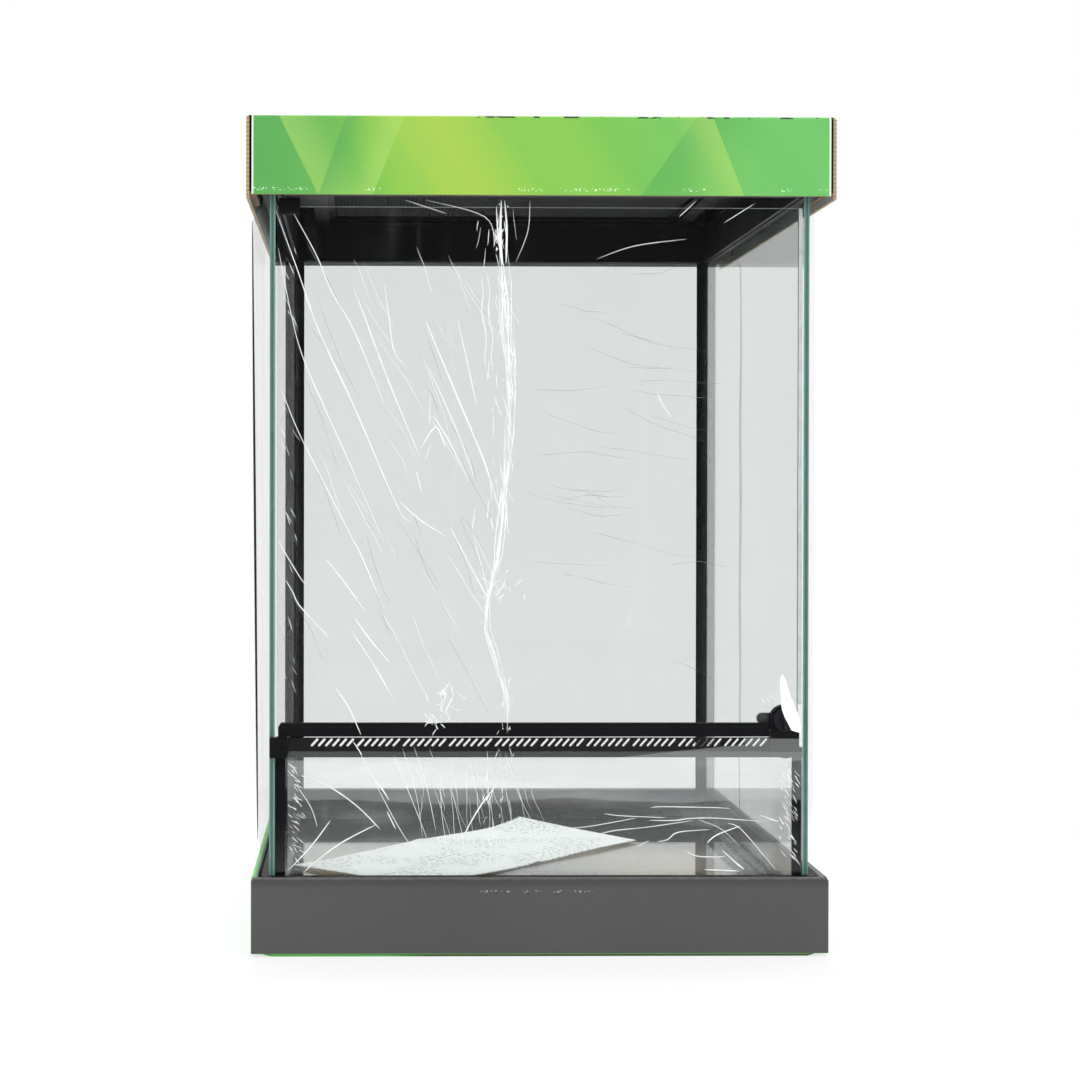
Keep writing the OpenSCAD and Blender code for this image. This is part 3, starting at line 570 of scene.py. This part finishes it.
def wire_layer(name, centre, length, along_x, count):
    """One layer of parallel wires: a six-sided bar that is repeated across the mesh."""
    deselect()
    turned = (0, math.pi / 2, 0) if along_x else (math.pi / 2, 0, 0)
    bpy.ops.mesh.primitive_cylinder_add(vertices=6, radius=wire_radius, depth=length, location=centre,
                                        rotation=turned)
    wires = bpy.context.active_object
    wires.name = name
    bpy.ops.object.transform_apply(location=True, rotation=True, scale=True)
    spread = wires.modifiers.new("spread", "ARRAY")
    spread.use_relative_offset = False
    spread.use_constant_offset = True
    spread.constant_offset_displace = (0, pitch, 0) if along_x else (pitch, 0, 0)
    spread.count = count
    bpy.ops.object.modifier_apply(modifier="spread")
    return wires


mesh_width, mesh_depth = mesh_high.x - mesh_low.x, mesh_high.y - mesh_low.y
mesh_middle = (mesh_low + mesh_high) / 2
columns, lines = int(mesh_width / pitch), int(mesh_depth / pitch)
lengthwise = wire_layer("mesh_wires_y", (-(columns - 1) * pitch / 2, 0, mesh_middle.z + layer_offset),
                        mesh_depth, False, columns)
crosswise = wire_layer("woven_mesh", (0, -(lines - 1) * pitch / 2, mesh_middle.z - layer_offset),
                       mesh_width, True, lines)
deselect()
lengthwise.select_set(True)
crosswise.select_set(True)
bpy.context.view_layer.objects.active = crosswise
bpy.ops.object.join()
f = Finish("mesh_wire")
dust = f.noise(60, 4)
wear(crosswise, "lid", f.finish(f.shader(
    Base_Color=f.blend(dust, rgb("2c2b2c"), rgb("3d3c3d")), Roughness=0.5)), ["lid_mesh"])

# %% [markdown]
# ## Leaflet
# A sheet of paper folded to a long narrow leaflet, lying aslant on the floor pane with two corners a little
# up. The points of a grid are moved along gentle waves, and the sheet is then given thickness.

# %% Leaflet
paper_low, paper_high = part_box("leaflet")
paper_turn = math.radians(45)
along = Vector((math.cos(paper_turn), math.sin(paper_turn), 0))
across = Vector((-math.sin(paper_turn), math.cos(paper_turn), 0))
paper_length, paper_width, paper_thickness = 0.209, 0.098, 0.0006
paper_gap, fold_place = 0.0004, 0.004
paper_middle = Vector(((paper_low.x + paper_high.x) / 2, (paper_low.y + paper_high.y) / 2, 0))
deselect()
bpy.ops.mesh.primitive_grid_add(x_subdivisions=56, y_subdivisions=28, size=1, location=(0, 0, 0))
leaflet = bpy.context.active_object
leaflet.name = "folded_leaflet"
for point in leaflet.data.vertices:
    u, v = point.co.x, point.co.y
    far_corner = 0.0875 * max(0.0, u - 0.3) ** 2 * (v + 0.5)
    near_corner = 0.0121 * max(0.0, -0.32 - u) * (0.5 - v)
    waves = 0.0005 * (1 + math.sin(9 * u + 3 * v))
    fold = 0.0009 * max(0.0, 1 - abs(u - 0.02) / 0.03)
    point.co = paper_middle + along * (u * paper_length) + across * (v * paper_width)
    point.co.z = paper_low.z + paper_gap + far_corner + near_corner + waves + fold
thick = leaflet.modifiers.new("thick", "SOLIDIFY")
thick.thickness = paper_thickness
thick.offset = 1
bpy.ops.object.modifier_apply(modifier="thick")
bpy.ops.object.shade_smooth_by_angle(angle=math.radians(40))
print("leaflet points:", len(leaflet.data.vertices))

# %% [markdown]
# ## The leaflet's print
# It is only rows of grey specks, which stand for any print: a wave texture gives the rows, a fine noise the
# specks and a coarse one the blocks of text. A faint grey line across the sheet is painted shade of its fold.

# %% Leaflet's finish
f = Finish("paper")
pulp = f.noise(500, 4)
lengthwise_way = (f.x + f.y) * math.cos(paper_turn)
crosswise_way = (f.y - f.x) * math.cos(paper_turn)
grid = f.node("CombineXYZ", inputs={"X": lengthwise_way, "Y": crosswise_way})
rows = f.node("TexWave", {"wave_type": "BANDS", "bands_direction": "Y"}, {"Vector": grid, "Scale": 75})
blocks = f.ramp(f.noise(28, 2, vector=grid), 0.46, 0.52)
marks = f.ramp(f.noise(420, 2, vector=grid), 0.5, 0.56) * (rows > 0.5) * blocks
# Painted shade: a faint grey line along the fold
folds = f.ramp(abs(lengthwise_way - paper_middle.dot(along) - fold_place), 0.0006, 0.0)
colour = f.blend(pulp, rgb("f1f1ef"), rgb("fcfcfb"))
colour = f.blend(marks * 0.7, colour, rgb("7c8084"))
colour = f.blend(folds * 0.5, colour, rgb("8f9396"))
wear(leaflet, "tank", f.finish(f.shader(Base_Color=colour, Roughness=0.7,
                                                 Normal=f.bump(pulp, 0.00008, 0.3))), ["leaflet"])

# %% [markdown]
# ## Shrink film: its finishes
# Clear film is shrunk over the whole pack. Flat parts of it hardly show, and it shows as white haze where it
# reflects, so that haze is a painted reflection. One recipe serves all its sheets, with a veil that gives the
# share of painted reflection at each place: fine streaks on the door, patches with wavy edges on the low
# front, a cloudy haze on the sides, which is grey there.

# %% Film finishes
random.seed(41)
strip_foot, foot_reflection_top = 0.1043, 0.1092


def film_finish(name, veil, haze="f0f3f3"):
    """Clear film; veil gives the share of painted reflection at each place, in white unless haze is given."""
    f = Finish(name)
    wave = f.noise(60, 3, stretch=(1, 1, 0.3))
    return f.finish(f.shader(Base_Color=f.blend(wave * 0.15, rgb(haze), rgb("ffffff")), Roughness=0.2,
                             Alpha=veil(f), Normal=f.bump(wave, 0.0006, 0.4)))


def door_veil(f):
    """Painted reflection in fine upright streaks, most of them on the hinge side."""
    streaks = f.ramp(f.noise(90, 4, 0.6, stretch=(1, 1, 0.07)), 0.52, 0.8)
    hinge_side = f.ramp(f.x, -0.16, 0.0, (1.0, 0.12))
    return hinge_side * (streaks * 0.03 + f.ramp(f.noise(22, 4), 0.55, 0.75) * 0.012) + 0.002


def low_veil(f):
    """Painted reflection over the strip's foot and right end, and before the floor, where its edge is wavy.
    """
    on_strip = f.z > strip_foot
    on_floor = 1 - on_strip
    under_line = (f.x > 0.047) * f.ramp(0.1068 + (f.x - 0.0473) * 0.0994 - f.z, 0.0, 0.0004)
    strip_reflection = (under_line | f.ramp(f.x, 0.109, 0.1135)) * 0.13 + (f.z < foot_reflection_top) * 0.06
    swell = f.noise(11, 2, 0.4, stretch=(1, 1, 0.2)) * 0.012
    rear_reflection = f.ramp(f.z - (0.0765 + swell), 0.0, 0.0008) * 0.1
    wisps = f.ramp(f.noise(26, 4, 0.55, stretch=(0.35, 1, 2.4)), 0.46, 0.7)
    hinge_side = f.ramp(f.x, -0.1, 0.0, (1.0, 0.2))
    streaks = f.ramp(f.noise(150, 3, 0.6, stretch=(1, 1, 0.08)), 0.55, 0.8) * hinge_side
    left_of_keeper = 1 - f.ramp(f.x, 0.124, 0.129)
    floor_reflection = rear_reflection + left_of_keeper * (0.07 + wisps * 0.08 + streaks * 0.06)
    return on_strip * strip_reflection + on_floor * floor_reflection + 0.006


def side_veil(f):
    """An even, cloudy painted reflection."""
    return f.ramp(f.noise(9, 5, 0.6, stretch=(1, 1, 0.3)), 0.3, 0.75, (0.05, 0.14))


def loose_veil(f):
    """The left film is seen along its length, so its painted reflection is denser to the eye."""
    return f.ramp(f.noise(14, 4, 0.6, stretch=(1, 1, 0.2)), 0.3, 0.75, (0.24, 0.36))


print("film veils: 4")

# %% [markdown]
# ## Shrink film: its sheets
# Each sheet is a grid that covers its pane and waves a little before it, as shrunk film does. A flat plane
# would mirror the lamps too evenly. The low sheet swells over the keeper and ends just short of the right
# pane. The left one stands off the tank between the two cartons.

# %% Film sheets
low_film_right = 0.1415
keeper_swell = 0.0024
stand_off, stand_off_gain = 0.0018, 0.0098


def film_sheet(name, corner, right, up, out, steps, node, body, material, wave=0.0012, push=None):
    """A film from corner along right and up, which waves along out; push adds a swell at (x, z)."""
    deselect()
    bpy.ops.mesh.primitive_grid_add(x_subdivisions=steps[0], y_subdivisions=steps[1], size=1)
    sheet = bpy.context.active_object
    sheet.name = name
    corner, right, up, out = Vector(corner), Vector(right), Vector(up), Vector(out)
    for point in sheet.data.vertices:
        u, v = point.co.x + 0.5, point.co.y + 0.5
        edge = min(1.0, 12 * min(u, 1 - u, v, 1 - v))
        # Three sines of unlike lengths make the waves, and the border stays flat
        ripple = math.sin(31 * u + 7 * v) + math.sin(13 * v - 17 * u + 1) + 0.6 * math.sin(47 * u - 23 * v)
        place = corner + right * u + up * v
        swell = push(place) if push else 0.0
        point.co = place + out * (wave * edge * (1 + ripple / 2.6) / 2 + swell)
    bpy.ops.object.shade_smooth()
    wear(sheet, body, material, [node])


def rise(value, low, high):
    """0 below low, 1 above high, smooth between."""
    t = min(1.0, max(0.0, (value - low) / (high - low)))
    return t * t * (3 - 2 * t)


def over_keeper(place):
    """The low film's swell over the keeper at the strip's right end."""
    return keeper_swell * rise(place.x, 0.118, 0.1245) * rise(place.z, 0.088, 0.102)


def between_cartons(place):
    """The left film stands off the tank from the tray's rim to the cap's edge, the higher the more."""
    free = rise(place.z, 0.043, 0.07) * (1 - rise(place.z, 0.396, 0.404))
    return free * (stand_off + stand_off_gain * (place.z - 0.04))


door_low, door_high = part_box("film_door")
strip_low, strip_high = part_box("film_lower_front")
film_sheet("film_front", door_low, (door_high.x - door_low.x, 0, 0), (0, 0, door_high.z - door_low.z),
           (0, -1, 0), (96, 96), "film_door", "door", film_finish("film_door", door_veil))
film_sheet("film_low", strip_low, (low_film_right - strip_low.x, 0, 0), (0, 0, strip_high.z - strip_low.z),
           (0, -1, 0), (140, 40), "film_lower_front", "tank", film_finish("film_low", low_veil),
           wave=0.001, push=over_keeper)
# The side films' haze is grey: painted reflection and shade of film seen at a slant
loose_film = film_finish("film_loose", loose_veil, "8d9292")
side_film = film_finish("film_side", side_veil, "b4b9b9")
for side, node in ((-1, "film_left"), (1, "film_right")):
    a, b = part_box(node)
    x, finish, push = (a.x, loose_film, between_cartons) if side < 0 else (b.x, side_film, None)
    film_sheet(node + "_sheet", (x, b.y, a.z), (0, a.y - b.y, 0), (0, 0, b.z - a.z), (side, 0, 0), (70, 90),
               node, "tank", finish, push=push)
a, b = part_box("film_back")
film_sheet("film_back_sheet", (a.x, b.y, a.z), (b.x - a.x, 0, 0), (0, 0, b.z - a.z), (0, 1, 0), (70, 90),
           "film_back", "tank", film_finish("film_rear", lambda f: side_veil(f) * 0.4))

# %% [markdown]
# ## Creases: their finishes
# A crease shows as a bright line, because a fold of clear film mirrors the lamps along its length. So it is
# white and nearly solid, a painted highlight, and it thins out in places. A second finish is grey and faint,
# painted shade for the shallow folds that hardly show.

# %% Finishes of the creases
# Painted highlight of the creases
f = Finish("film_fold")
crease_highlight = f.finish(f.shader(
    Base_Color=f.blend(f.noise(200, 3), rgb("eef0f0"), rgb("ffffff")), Roughness=0.25,
    Alpha=f.ramp(f.noise(70, 3), 0.25, 0.6, (0.6, 1.0))))
# Painted shade of the shallow folds
f = Finish("film_fold_faint")
crease_shade = f.finish(f.shader(
    Base_Color=f.blend(f.noise(200, 3), rgb("8b9090"), rgb("a2a7a7")), Roughness=0.3,
    Alpha=f.ramp(f.noise(90, 3), 0.3, 0.7, (0.15, 0.5))))
print("crease finishes: 2")

# %% [markdown]
# ## Creases: the tools
# Each crease is a thin rounded fold that tapers to its ends. A curve with a round bevel makes it, because a
# curve follows any line with a few points. The main ones run smoothly through points that were read from the
# photo, in millimetres. Finer ones come from a seeded generator that follows the same directions.

# %% Tools for creases
pane_plane, rail_plane, rail_reach = -147.0, -147.7, 126
low_plane, swell_depth = -148.1, 2.2
swell_left, swell_foot = 121, 90


def smooth(points, steps=6):
    """Points of a smooth line that passes through the given ones."""
    ends = [points[0], *points, points[-1]]
    line = []
    for before, start, end, after in zip(ends, ends[1:], ends[2:], ends[3:]):
        for i in range(steps):
            t = i / steps
            line.append([0.5 * (2 * s + (e - b) * t + (2 * b - 5 * s + 4 * e - a) * t ** 2
                                + (3 * s - b - 3 * e + a) * t ** 3)
                         for b, s, e, a in zip(before, start, end, after)])
    return line + [list(points[-1])]


def creases(name, folds, body, material):
    """One piece of thin folds; each is a radius and its points (x, y, z), all in millimetres."""
    data = bpy.data.curves.new(name, "CURVE")
    data.dimensions = "3D"
    data.bevel_depth = 0.001
    data.bevel_resolution = 1
    for radius, points in folds:
        line = data.splines.new("POLY")
        line.points.add(len(points) - 1)
        for i, (x, y, z) in enumerate(points):
            along = i / (len(points) - 1)
            line.points[i].co = (x / 1000, y / 1000, z / 1000, 1)
            line.points[i].radius = radius * (0.15 + 0.85 * math.sin(math.pi * along) ** 0.5)
    thing = bpy.data.objects.new(name, data)
    bpy.context.scene.collection.objects.link(thing)
    deselect()
    thing.select_set(True)
    bpy.context.view_layer.objects.active = thing
    bpy.ops.object.convert(target="MESH")
    thing = bpy.context.active_object
    thing.name = name
    bpy.ops.object.shade_smooth()
    wear(thing, body, material)


def on_door(points):
    """Points (x, z) laid before the pane, and before the rail where the line reaches it."""
    return [(x, rail_plane if z < rail_reach else pane_plane, z) for x, z in points]


def on_low(points):
    """Points (x, z) laid before the low pane, and over the keeper."""
    return [(x, low_plane - (swell_depth if x > swell_left and z > swell_foot else 0), z)
            for x, z in points]


def wavering(x, z, angle, length, wander, steps=12):
    """A line from (x, z) that runs at an angle and wanders a little."""
    phase, bow = random.uniform(0, 6.28), random.uniform(-1, 1) * wander
    points = []
    for i in range(steps + 1):
        t = i / steps
        off = bow * math.sin(math.pi * t) + wander * 0.25 * math.sin(9 * t + phase) * t
        points.append((x + math.cos(angle) * length * t - math.sin(angle) * off,
                       z + math.sin(angle) * length * t + math.cos(angle) * off))
    return points


print("creases lie at y =", pane_plane, "on the door and", low_plane, "below it, in millimetres")

# %% [markdown]
# ## Creases: the fan on the door
# Long lines fan out from the upper left. Each row below is one crease: its radius, then its points (x, z),
# all in millimetres. Short and faint lines are strewn between them, and a border of small dashes follows the
# pane's left edge.

# %% Creases of the door's film: the fan from the upper left
fan_foot, fan_right = 128, 139
fan = [
    (0.34, (-142.4, 399.8), (-130.5, 367.4), (-119.2, 335.5), (-100.3, 295), (-77, 241.4), (-69.5, 232.8)),
    (0.26, (-141.2, 380), (-130.5, 329.5), (-116.5, 295), (-104.1, 267.9), (-84.1, 222)),
    (0.24, (-139.2, 303.6), (-130.5, 282), (-119.2, 259.3), (-95.4, 212.8)),
    (0.32, (-132.7, 398.2), (-120.3, 375.5), (-112.7, 357.1), (-100.3, 335.5), (-83.5, 295)),
    (0.34, (-100.3, 358.2), (-90, 330.6), (-79.7, 303.6), (-64.6, 267.4)),
    (0.22, (-84.1, 361.4), (-81.4, 342), (-78.6, 324.1), (-72.7, 317.1)),
    (0.38, (-61.9, 341.4), (-54.3, 323.1), (-36.5, 280.9), (-28.9, 262), (-20.8, 235.5)),
    (0.26, (-60.3, 316), (-50.5, 295), (-41.4, 273.3), (-35.4, 256.6)),
    (0.24, (-44.6, 342), (-38.6, 315.5), (-34.3, 296)),
    (0.26, (-57.6, 290.1), (-48.9, 276), (-38.1, 253.9)),
    (0.36, (-64.6, 271.7), (-59.2, 280.9), (-55.4, 283.6), (-51.1, 273.3)),
    (0.22, (-59.2, 301.4), (-59.7, 284.7)),
    (0.22, (-61.9, 265.8), (-59.2, 274.4)),
    (0.24, (-66.8, 260.4), (-63.5, 247.9)),
    (0.34, (-75.9, 244.1), (-64.6, 233.9), (-51.1, 225.2)),
    (0.2, (-73.2, 406), (-50.5, 398.7)),
    (0.2, (-61.9, 406), (-30, 397.1), (-24.6, 381.4)),
    (0.18, (-5.7, 406), (-6.8, 389.5), (-13.2, 372.8)),
    (0.26, (-141, 223.1), (-137.8, 217), (-129.4, 203.2), (-125.7, 198.3)),
    (0.34, (-136.8, 201.3), (-133, 194.7), (-128.8, 186.9), (-113.1, 170)),
    (0.34, (-114.9, 212.4), (-105.2, 200.1), (-93.8, 184.2)),
    (0.3, (-101, 223.1), (-96.2, 214.6), (-86.5, 191.1)),
    (0.4, (-99.8, 181.4), (-92, 170), (-80.5, 156.7)),
    (0.34, (-101, 173), (-90.8, 157.9), (-78.7, 137.4)),
    (0.34, (-110.1, 143.4), (-102.8, 132.6), (-96.2, 118.1)),
    (0.42, (-48.4, 230.1), (-35.3, 205), (-28, 191.7)),
    (0.24, (-35.3, 223.1), (-30.4, 205), (-28, 194.1)),
    (0.3, (-61.8, 141), (-59.7, 136.2)),
    (0.34, (-48.5, 146.4), (-54, 138.6)),
    (0.4, (-46.7, 138.6), (-51.5, 129)),
    (0.36, (-59.4, 129.6), (-55.8, 126.5), (-55.8, 123.5)),
    (0.24, (62.9, 303.9), (66.1, 296.2), (71.2, 289.2)),
    (0.2, (30.4, 374.6), (50.8, 381.7), (78.8, 385.5)),
    (0.26, (75, 397.6), (84, 406)),
    (0.22, (99.2, 394.4), (116, 405)),
    (0.34, (120.5, 137.5), (122, 134.8)),
    (0.34, (122.3, 138.5), (125, 134.8)),
    (0.34, (125, 140), (127.6, 135.6)),
]
white = [(radius, on_door(smooth(points))) for radius, *points in fan]
faint = []
for _ in range(46):
    start = (random.uniform(-139, -34), random.uniform(170, 385))
    angle = math.radians(random.uniform(-72, -54))
    room = min((start[1] - fan_foot) / math.sin(-angle), (fan_right - start[0]) / math.cos(angle))
    length = min(random.uniform(12, 60), room)
    line = on_door(wavering(*start, angle, length, 2.0))
    (white if random.random() < 0.45 else faint).append((random.uniform(0.08, 0.16), line))
for _ in range(26):
    start, angle = (random.uniform(-10, 70), random.uniform(150, 380)), math.radians(random.uniform(-22, 8))
    faint.append((random.uniform(0.08, 0.16), on_door(wavering(*start, angle, random.uniform(20, 60), 3.0))))
for _ in range(44):
    start = random.uniform(-139.5, -132), random.uniform(140, 395)
    line = on_door(wavering(*start, random.uniform(-1.35, -0.95), random.uniform(2, 8), 0.2, 5))
    (white if random.random() < 0.6 else faint).append((random.uniform(0.08, 0.18), line))
print("white folds:", len(white), "faint folds:", len(faint))

# %% [markdown]
# ## Creases: the upright bundle on the door
# A bundle of folds runs down the pane a little left of its middle. A spine gives its place at each height. A
# few thick strands follow it at a steady distance, many thin ones run beside it for a while, and short flecks
# make it look crumpled.

# %% Creases of the door's film: the upright bundle
spine = [(407, -21.5), (373, -20), (335, -17.6), (302, -15.2), (255, -18.6), (213, -22.8), (189, -28.4),
         (175, -29), (155, -22.5), (139, -17.8), (119, -17.5)]


def spine_x(z):
    """Where the bundle stands at height z."""
    for (high, x_high), (low, x_low) in zip(spine, spine[1:]):
        if z >= low:
            return x_low + (x_high - x_low) * (z - low) / (high - low)
    return spine[-1][1]


for radius, top, end, offset in ((0.75, 406, 371, -0.3), (0.6, 406, 372, 1.9), (0.45, 403, 369, -1.8),
                                 (0.44, 373, 302, 0.4), (0.3, 369, 312, -1.6), (0.22, 302, 190, -1.6),
                                 (0.2, 301, 188, 1.8), (0.26, 188, 129, -0.8), (0.2, 190, 127, 1.8)):
    heights = [top + (end - top) * i / 24 for i in range(25)]
    line = [(spine_x(z) + offset + 0.7 * math.sin(z / 9 + offset), z) for z in heights]
    white.append((radius, on_door(line)))
for _ in range(40):
    top = random.uniform(150, 406)
    end, offset, phase = max(119, top - random.uniform(15, 80)), random.gauss(0, 2.6), random.uniform(0, 6)
    heights = [top + (end - top) * i / 14 for i in range(15)]
    line = [(spine_x(z) + offset * (0.5 + 0.5 * math.cos(z / 60)) + 0.6 * math.sin(z / 7 + phase), z)
            for z in heights]
    white.append((random.uniform(0.08, 0.2), on_door(line)))
for offset in (-12.5, -9):
    line = [(spine_x(z) + offset + 0.8 * math.sin(z / 4), z) for z in range(366, 314, -3)]
    white.append((0.24, on_door(line)))
for _ in range(90):
    z = random.choice((random.uniform(119, 200), random.uniform(300, 406)))
    start = (spine_x(z) + random.gauss(0, 2.2), z)
    white.append((random.uniform(0.12, 0.3), on_door(wavering(*start, random.uniform(-2.4, -0.8),
                                                              random.uniform(0.8, 3.0), 0.3, 3))))
for _ in range(80):
    z = random.uniform(235, 400)
    start = (spine_x(z) - abs(random.gauss(0, 7)) + 2, z)
    white.append((random.uniform(0.1, 0.26), on_door(wavering(*start, random.gauss(-1.5, 0.22),
                                                              random.uniform(2, 15), 0.3, 6))))
for x, z, spread in ((-50, 138, 5), (-21, 198, 5), (-56, 126, 3)):
    for _ in range(14):
        start = (x + random.gauss(0, spread), z + random.gauss(0, spread))
        white.append((random.uniform(0.12, 0.36), on_door(wavering(*start, random.uniform(0, 6.28),
                                                                   random.uniform(2, 7), 0.25, 5))))
creases("film_front_folds", white, "door", crease_highlight)
creases("film_front_faint", faint, "door", crease_shade)

# %% [markdown]
# ## Creases: the low film
# Before the strip and the floor the film is pulled towards the tray, in long arcs at the left and right. The
# rows are written as for the door. Thin lines go on below the bundle, and dashes fill both ends.

# %% Creases of the low film
low_foot = 45
low_folds = [
    (0.3, (-100.4, 114.5), (-98, 110.9), (-95.6, 107.2)),
    (0.42, (-95, 100.6), (-85.9, 90.3), (-81.1, 83.1)),
    (0.34, (-82.3, 77.1), (-77.5, 67.4)),
    (0.4, (-122.1, 94), (-111.3, 89.1), (-98, 79.5), (-85.9, 67.4)),
    (0.18, (-98, 110.9), (-78.7, 73.4), (-69, 57.8)),
    (0.18, (-78.7, 107.2), (-67.8, 80.7), (-59.4, 59)),
    (0.18, (-67.8, 112.1), (-60.6, 89.1), (-55.8, 66.2)),
    (0.14, (-73.9, 110.9), (-66.6, 86.7), (-63, 62.6)),
    (0.14, (-59.4, 110.9), (-54.6, 97.6), (-50.9, 84.3)),
    (0.4, (-21.4, 93.4), (-30.4, 81.9), (-37.1, 71), (-42.5, 60.2)),
    (0.34, (-112.5, 72.2), (-123.3, 57.8), (-135.5, 45)),
    (0.42, (-88.3, 69.8), (-106.4, 60.2), (-119.7, 50.5), (-127, 44)),
    (0.2, (-131.8, 92.2), (-123.3, 79.5), (-119.7, 68.6)),
    (0.24, (60.3, 78.9), (65.2, 79.4), (79, 79.2), (93.8, 78.9), (102.7, 78.4)),
    (0.3, (59.3, 72), (73.1, 72), (81, 73), (94.8, 73.2), (119.5, 71.5)),
    (0.34, (119.5, 74.7), (125.4, 72.5), (129.4, 71.3)),
    (0.2, (34.7, 75.7), (42.6, 74.6), (57.3, 73.9), (68.2, 73.4)),
    (0.2, (10, 67.5), (24.8, 68.5), (42.6, 71.5), (52.4, 73.4)),
    (0.24, (23.8, 61.1), (37.6, 66), (59.3, 68.5), (83, 72)),
    (0.2, (52.4, 57.7), (59.3, 61.1)),
    (0.3, (63.8, 60.6), (69.2, 61.6), (75.1, 65.6), (91.9, 67)),
    (0.34, (90.4, 59.6), (95.8, 64.1), (108.6, 69)),
    (0.22, (101.7, 70.5), (108.6, 67.5), (120.5, 54), (128, 45)),
    (0.16, (85, 72.5), (97.8, 67.5), (108.6, 57.7)),
    (0.3, (79, 55.7), (85, 52.7), (95.8, 52.2), (100.7, 52.7)),
    (0.55, (98.8, 55.7), (105.7, 49.5), (110.6, 45.5)),
    (0.5, (88.9, 45.3), (107.7, 44.6)),
]
white = [(radius, on_low(smooth(points))) for radius, *points in low_folds]
for _ in range(26):
    x, top = random.gauss(-38, 16), random.uniform(84, 112)
    angle = math.radians(random.uniform(-96, -66))
    line = wavering(x, top, angle, min(top - low_foot, random.uniform(14, 50)), 1.5)
    white.append((random.uniform(0.07, 0.14), on_low(line)))
for _ in range(44):
    z = random.uniform(52, 115)
    x = -20 + random.gauss(0, 4) - 0.1 * (110 - z)
    line = wavering(x, z, random.uniform(-2.2, -1.2), random.uniform(2, 12), 0.6, 5)
    white.append((random.uniform(0.1, 0.24), on_low([(x, max(z, low_foot)) for x, z in line])))
for low_x, high_x, count, lean, turn in ((-136, -128, 44, -0.7, 0.35), (129, 138, 60, -0.98, 0.15)):
    for _ in range(count):
        start = random.uniform(low_x, high_x), random.uniform(50, 103)
        line = wavering(*start, lean + random.uniform(-turn, turn), random.uniform(2, 6), 0.15, 5)
        white.append((random.uniform(0.1, 0.24), on_low(line)))
creases("film_low_folds", white, "tank", crease_highlight)

# %% [markdown]
# ## Seam and corner fold
# The film's welded seam runs up the right side, and its left front corner is a fold from the cap to the tray.
# Both are creases too, only thicker. The corner fold is near black, a painted shade.

# %% Seam and corner fold
seam_x, seam_y, seam_top = 151.4, 54, 396
corner_x, corner_y, corner_lean = -152.1, -137.6, 9.8
f = Finish("film_seam")
weld = f.finish(f.shader(Base_Color=f.blend(f.noise(300, 2), rgb("8f9494"), rgb("aeb3b3")), Roughness=0.3,
                         Alpha=f.ramp(f.noise(40, 2), 0.2, 0.8, (0.5, 0.75))))
seam = [(seam_x + 0.2 * math.sin(z / 17), seam_y, z) for z in range(40, seam_top, 6)]
seam += [(seam_x, seam_y + 10 * math.sin(t * 0.3), seam_top + 4.5 * (1 - math.cos(t * 0.3)))
         for t in range(1, 5)]
creases("film_seam", [(0.8, seam)], "tank", weld)
# Painted shade of the corner fold
f = Finish("film_fold_dark")
dark_fold_shade = f.finish(f.shader(
    Base_Color=f.blend(f.noise(300, 2), rgb("151516"), rgb("2f2f31")), Roughness=0.3,
    Alpha=f.ramp(f.noise(50, 2), 0.2, 0.7, (0.85, 1.0))))
corner_fold = [(corner_x - corner_lean * (z - 40) / 1000, corner_y, z) for z in range(60, 397, 8)]
creases("film_corner_fold", [(0.75, corner_fold)], "tank", dark_fold_shade)

# %% [markdown]
# ## Tab at the latch
# A tab of the wrapping sticks out beside the latch; its opaque white is a painted highlight of the bunched
# clear film. It is a grid that is bent along a smooth line, with its width given at a few places and a
# thickness from Solidify.

# %% Tab at the latch
tab_right, tab_thickness = 141.8, 0.0003
tab_steps = 24
deselect()
bpy.ops.mesh.primitive_grid_add(x_subdivisions=8, y_subdivisions=tab_steps, size=1)
tab = bpy.context.active_object
tab.name = "film_tab"
tab_line = smooth([(131.8, -146.6, 150), (131.9, -149, 144), (132.4, -152.4, 138), (133.8, -154.8, 131),
                   (135.8, -155, 125), (137.2, -154.8, 120)], 5)
# Half widths at even steps from the upper end to the lower one, and one more to blend with
tab_width = (0.6, 1.9, 2.3, 2.7, 3.7, 4.1, 4.0, 3.3, 2.6, 2.6)
for point in tab.data.vertices:
    u, v = point.co.x, 0.5 - point.co.y
    x, y, z = tab_line[round(v * tab_steps)]
    step, share = divmod(v * (len(tab_width) - 2), 1)
    half_width = tab_width[int(step)] * (1 - share) + tab_width[int(step) + 1] * share
    point.co = ((x + 2 * u * min(half_width, tab_right - x)) / 1000,
                (y + 0.25 * math.sin(4 * u + 6 * v)) / 1000, (z - 1.6 * u) / 1000)
thick = tab.modifiers.new("thick", "SOLIDIFY")
thick.thickness = tab_thickness
bpy.ops.object.modifier_apply(modifier="thick")
bpy.ops.object.shade_smooth_by_angle(angle=math.radians(40))
# Painted highlight: the tab's clear film is drawn opaque white
f = Finish("film_tab")
crumple = f.noise(260, 4)
tab_highlight = f.finish(f.shader(Base_Color=f.blend(crumple, rgb("f4f5f5"), rgb("ffffff")), Roughness=0.4,
                              Normal=f.bump(crumple, 0.0003, 0.5)))
wear(tab, "door", tab_highlight)
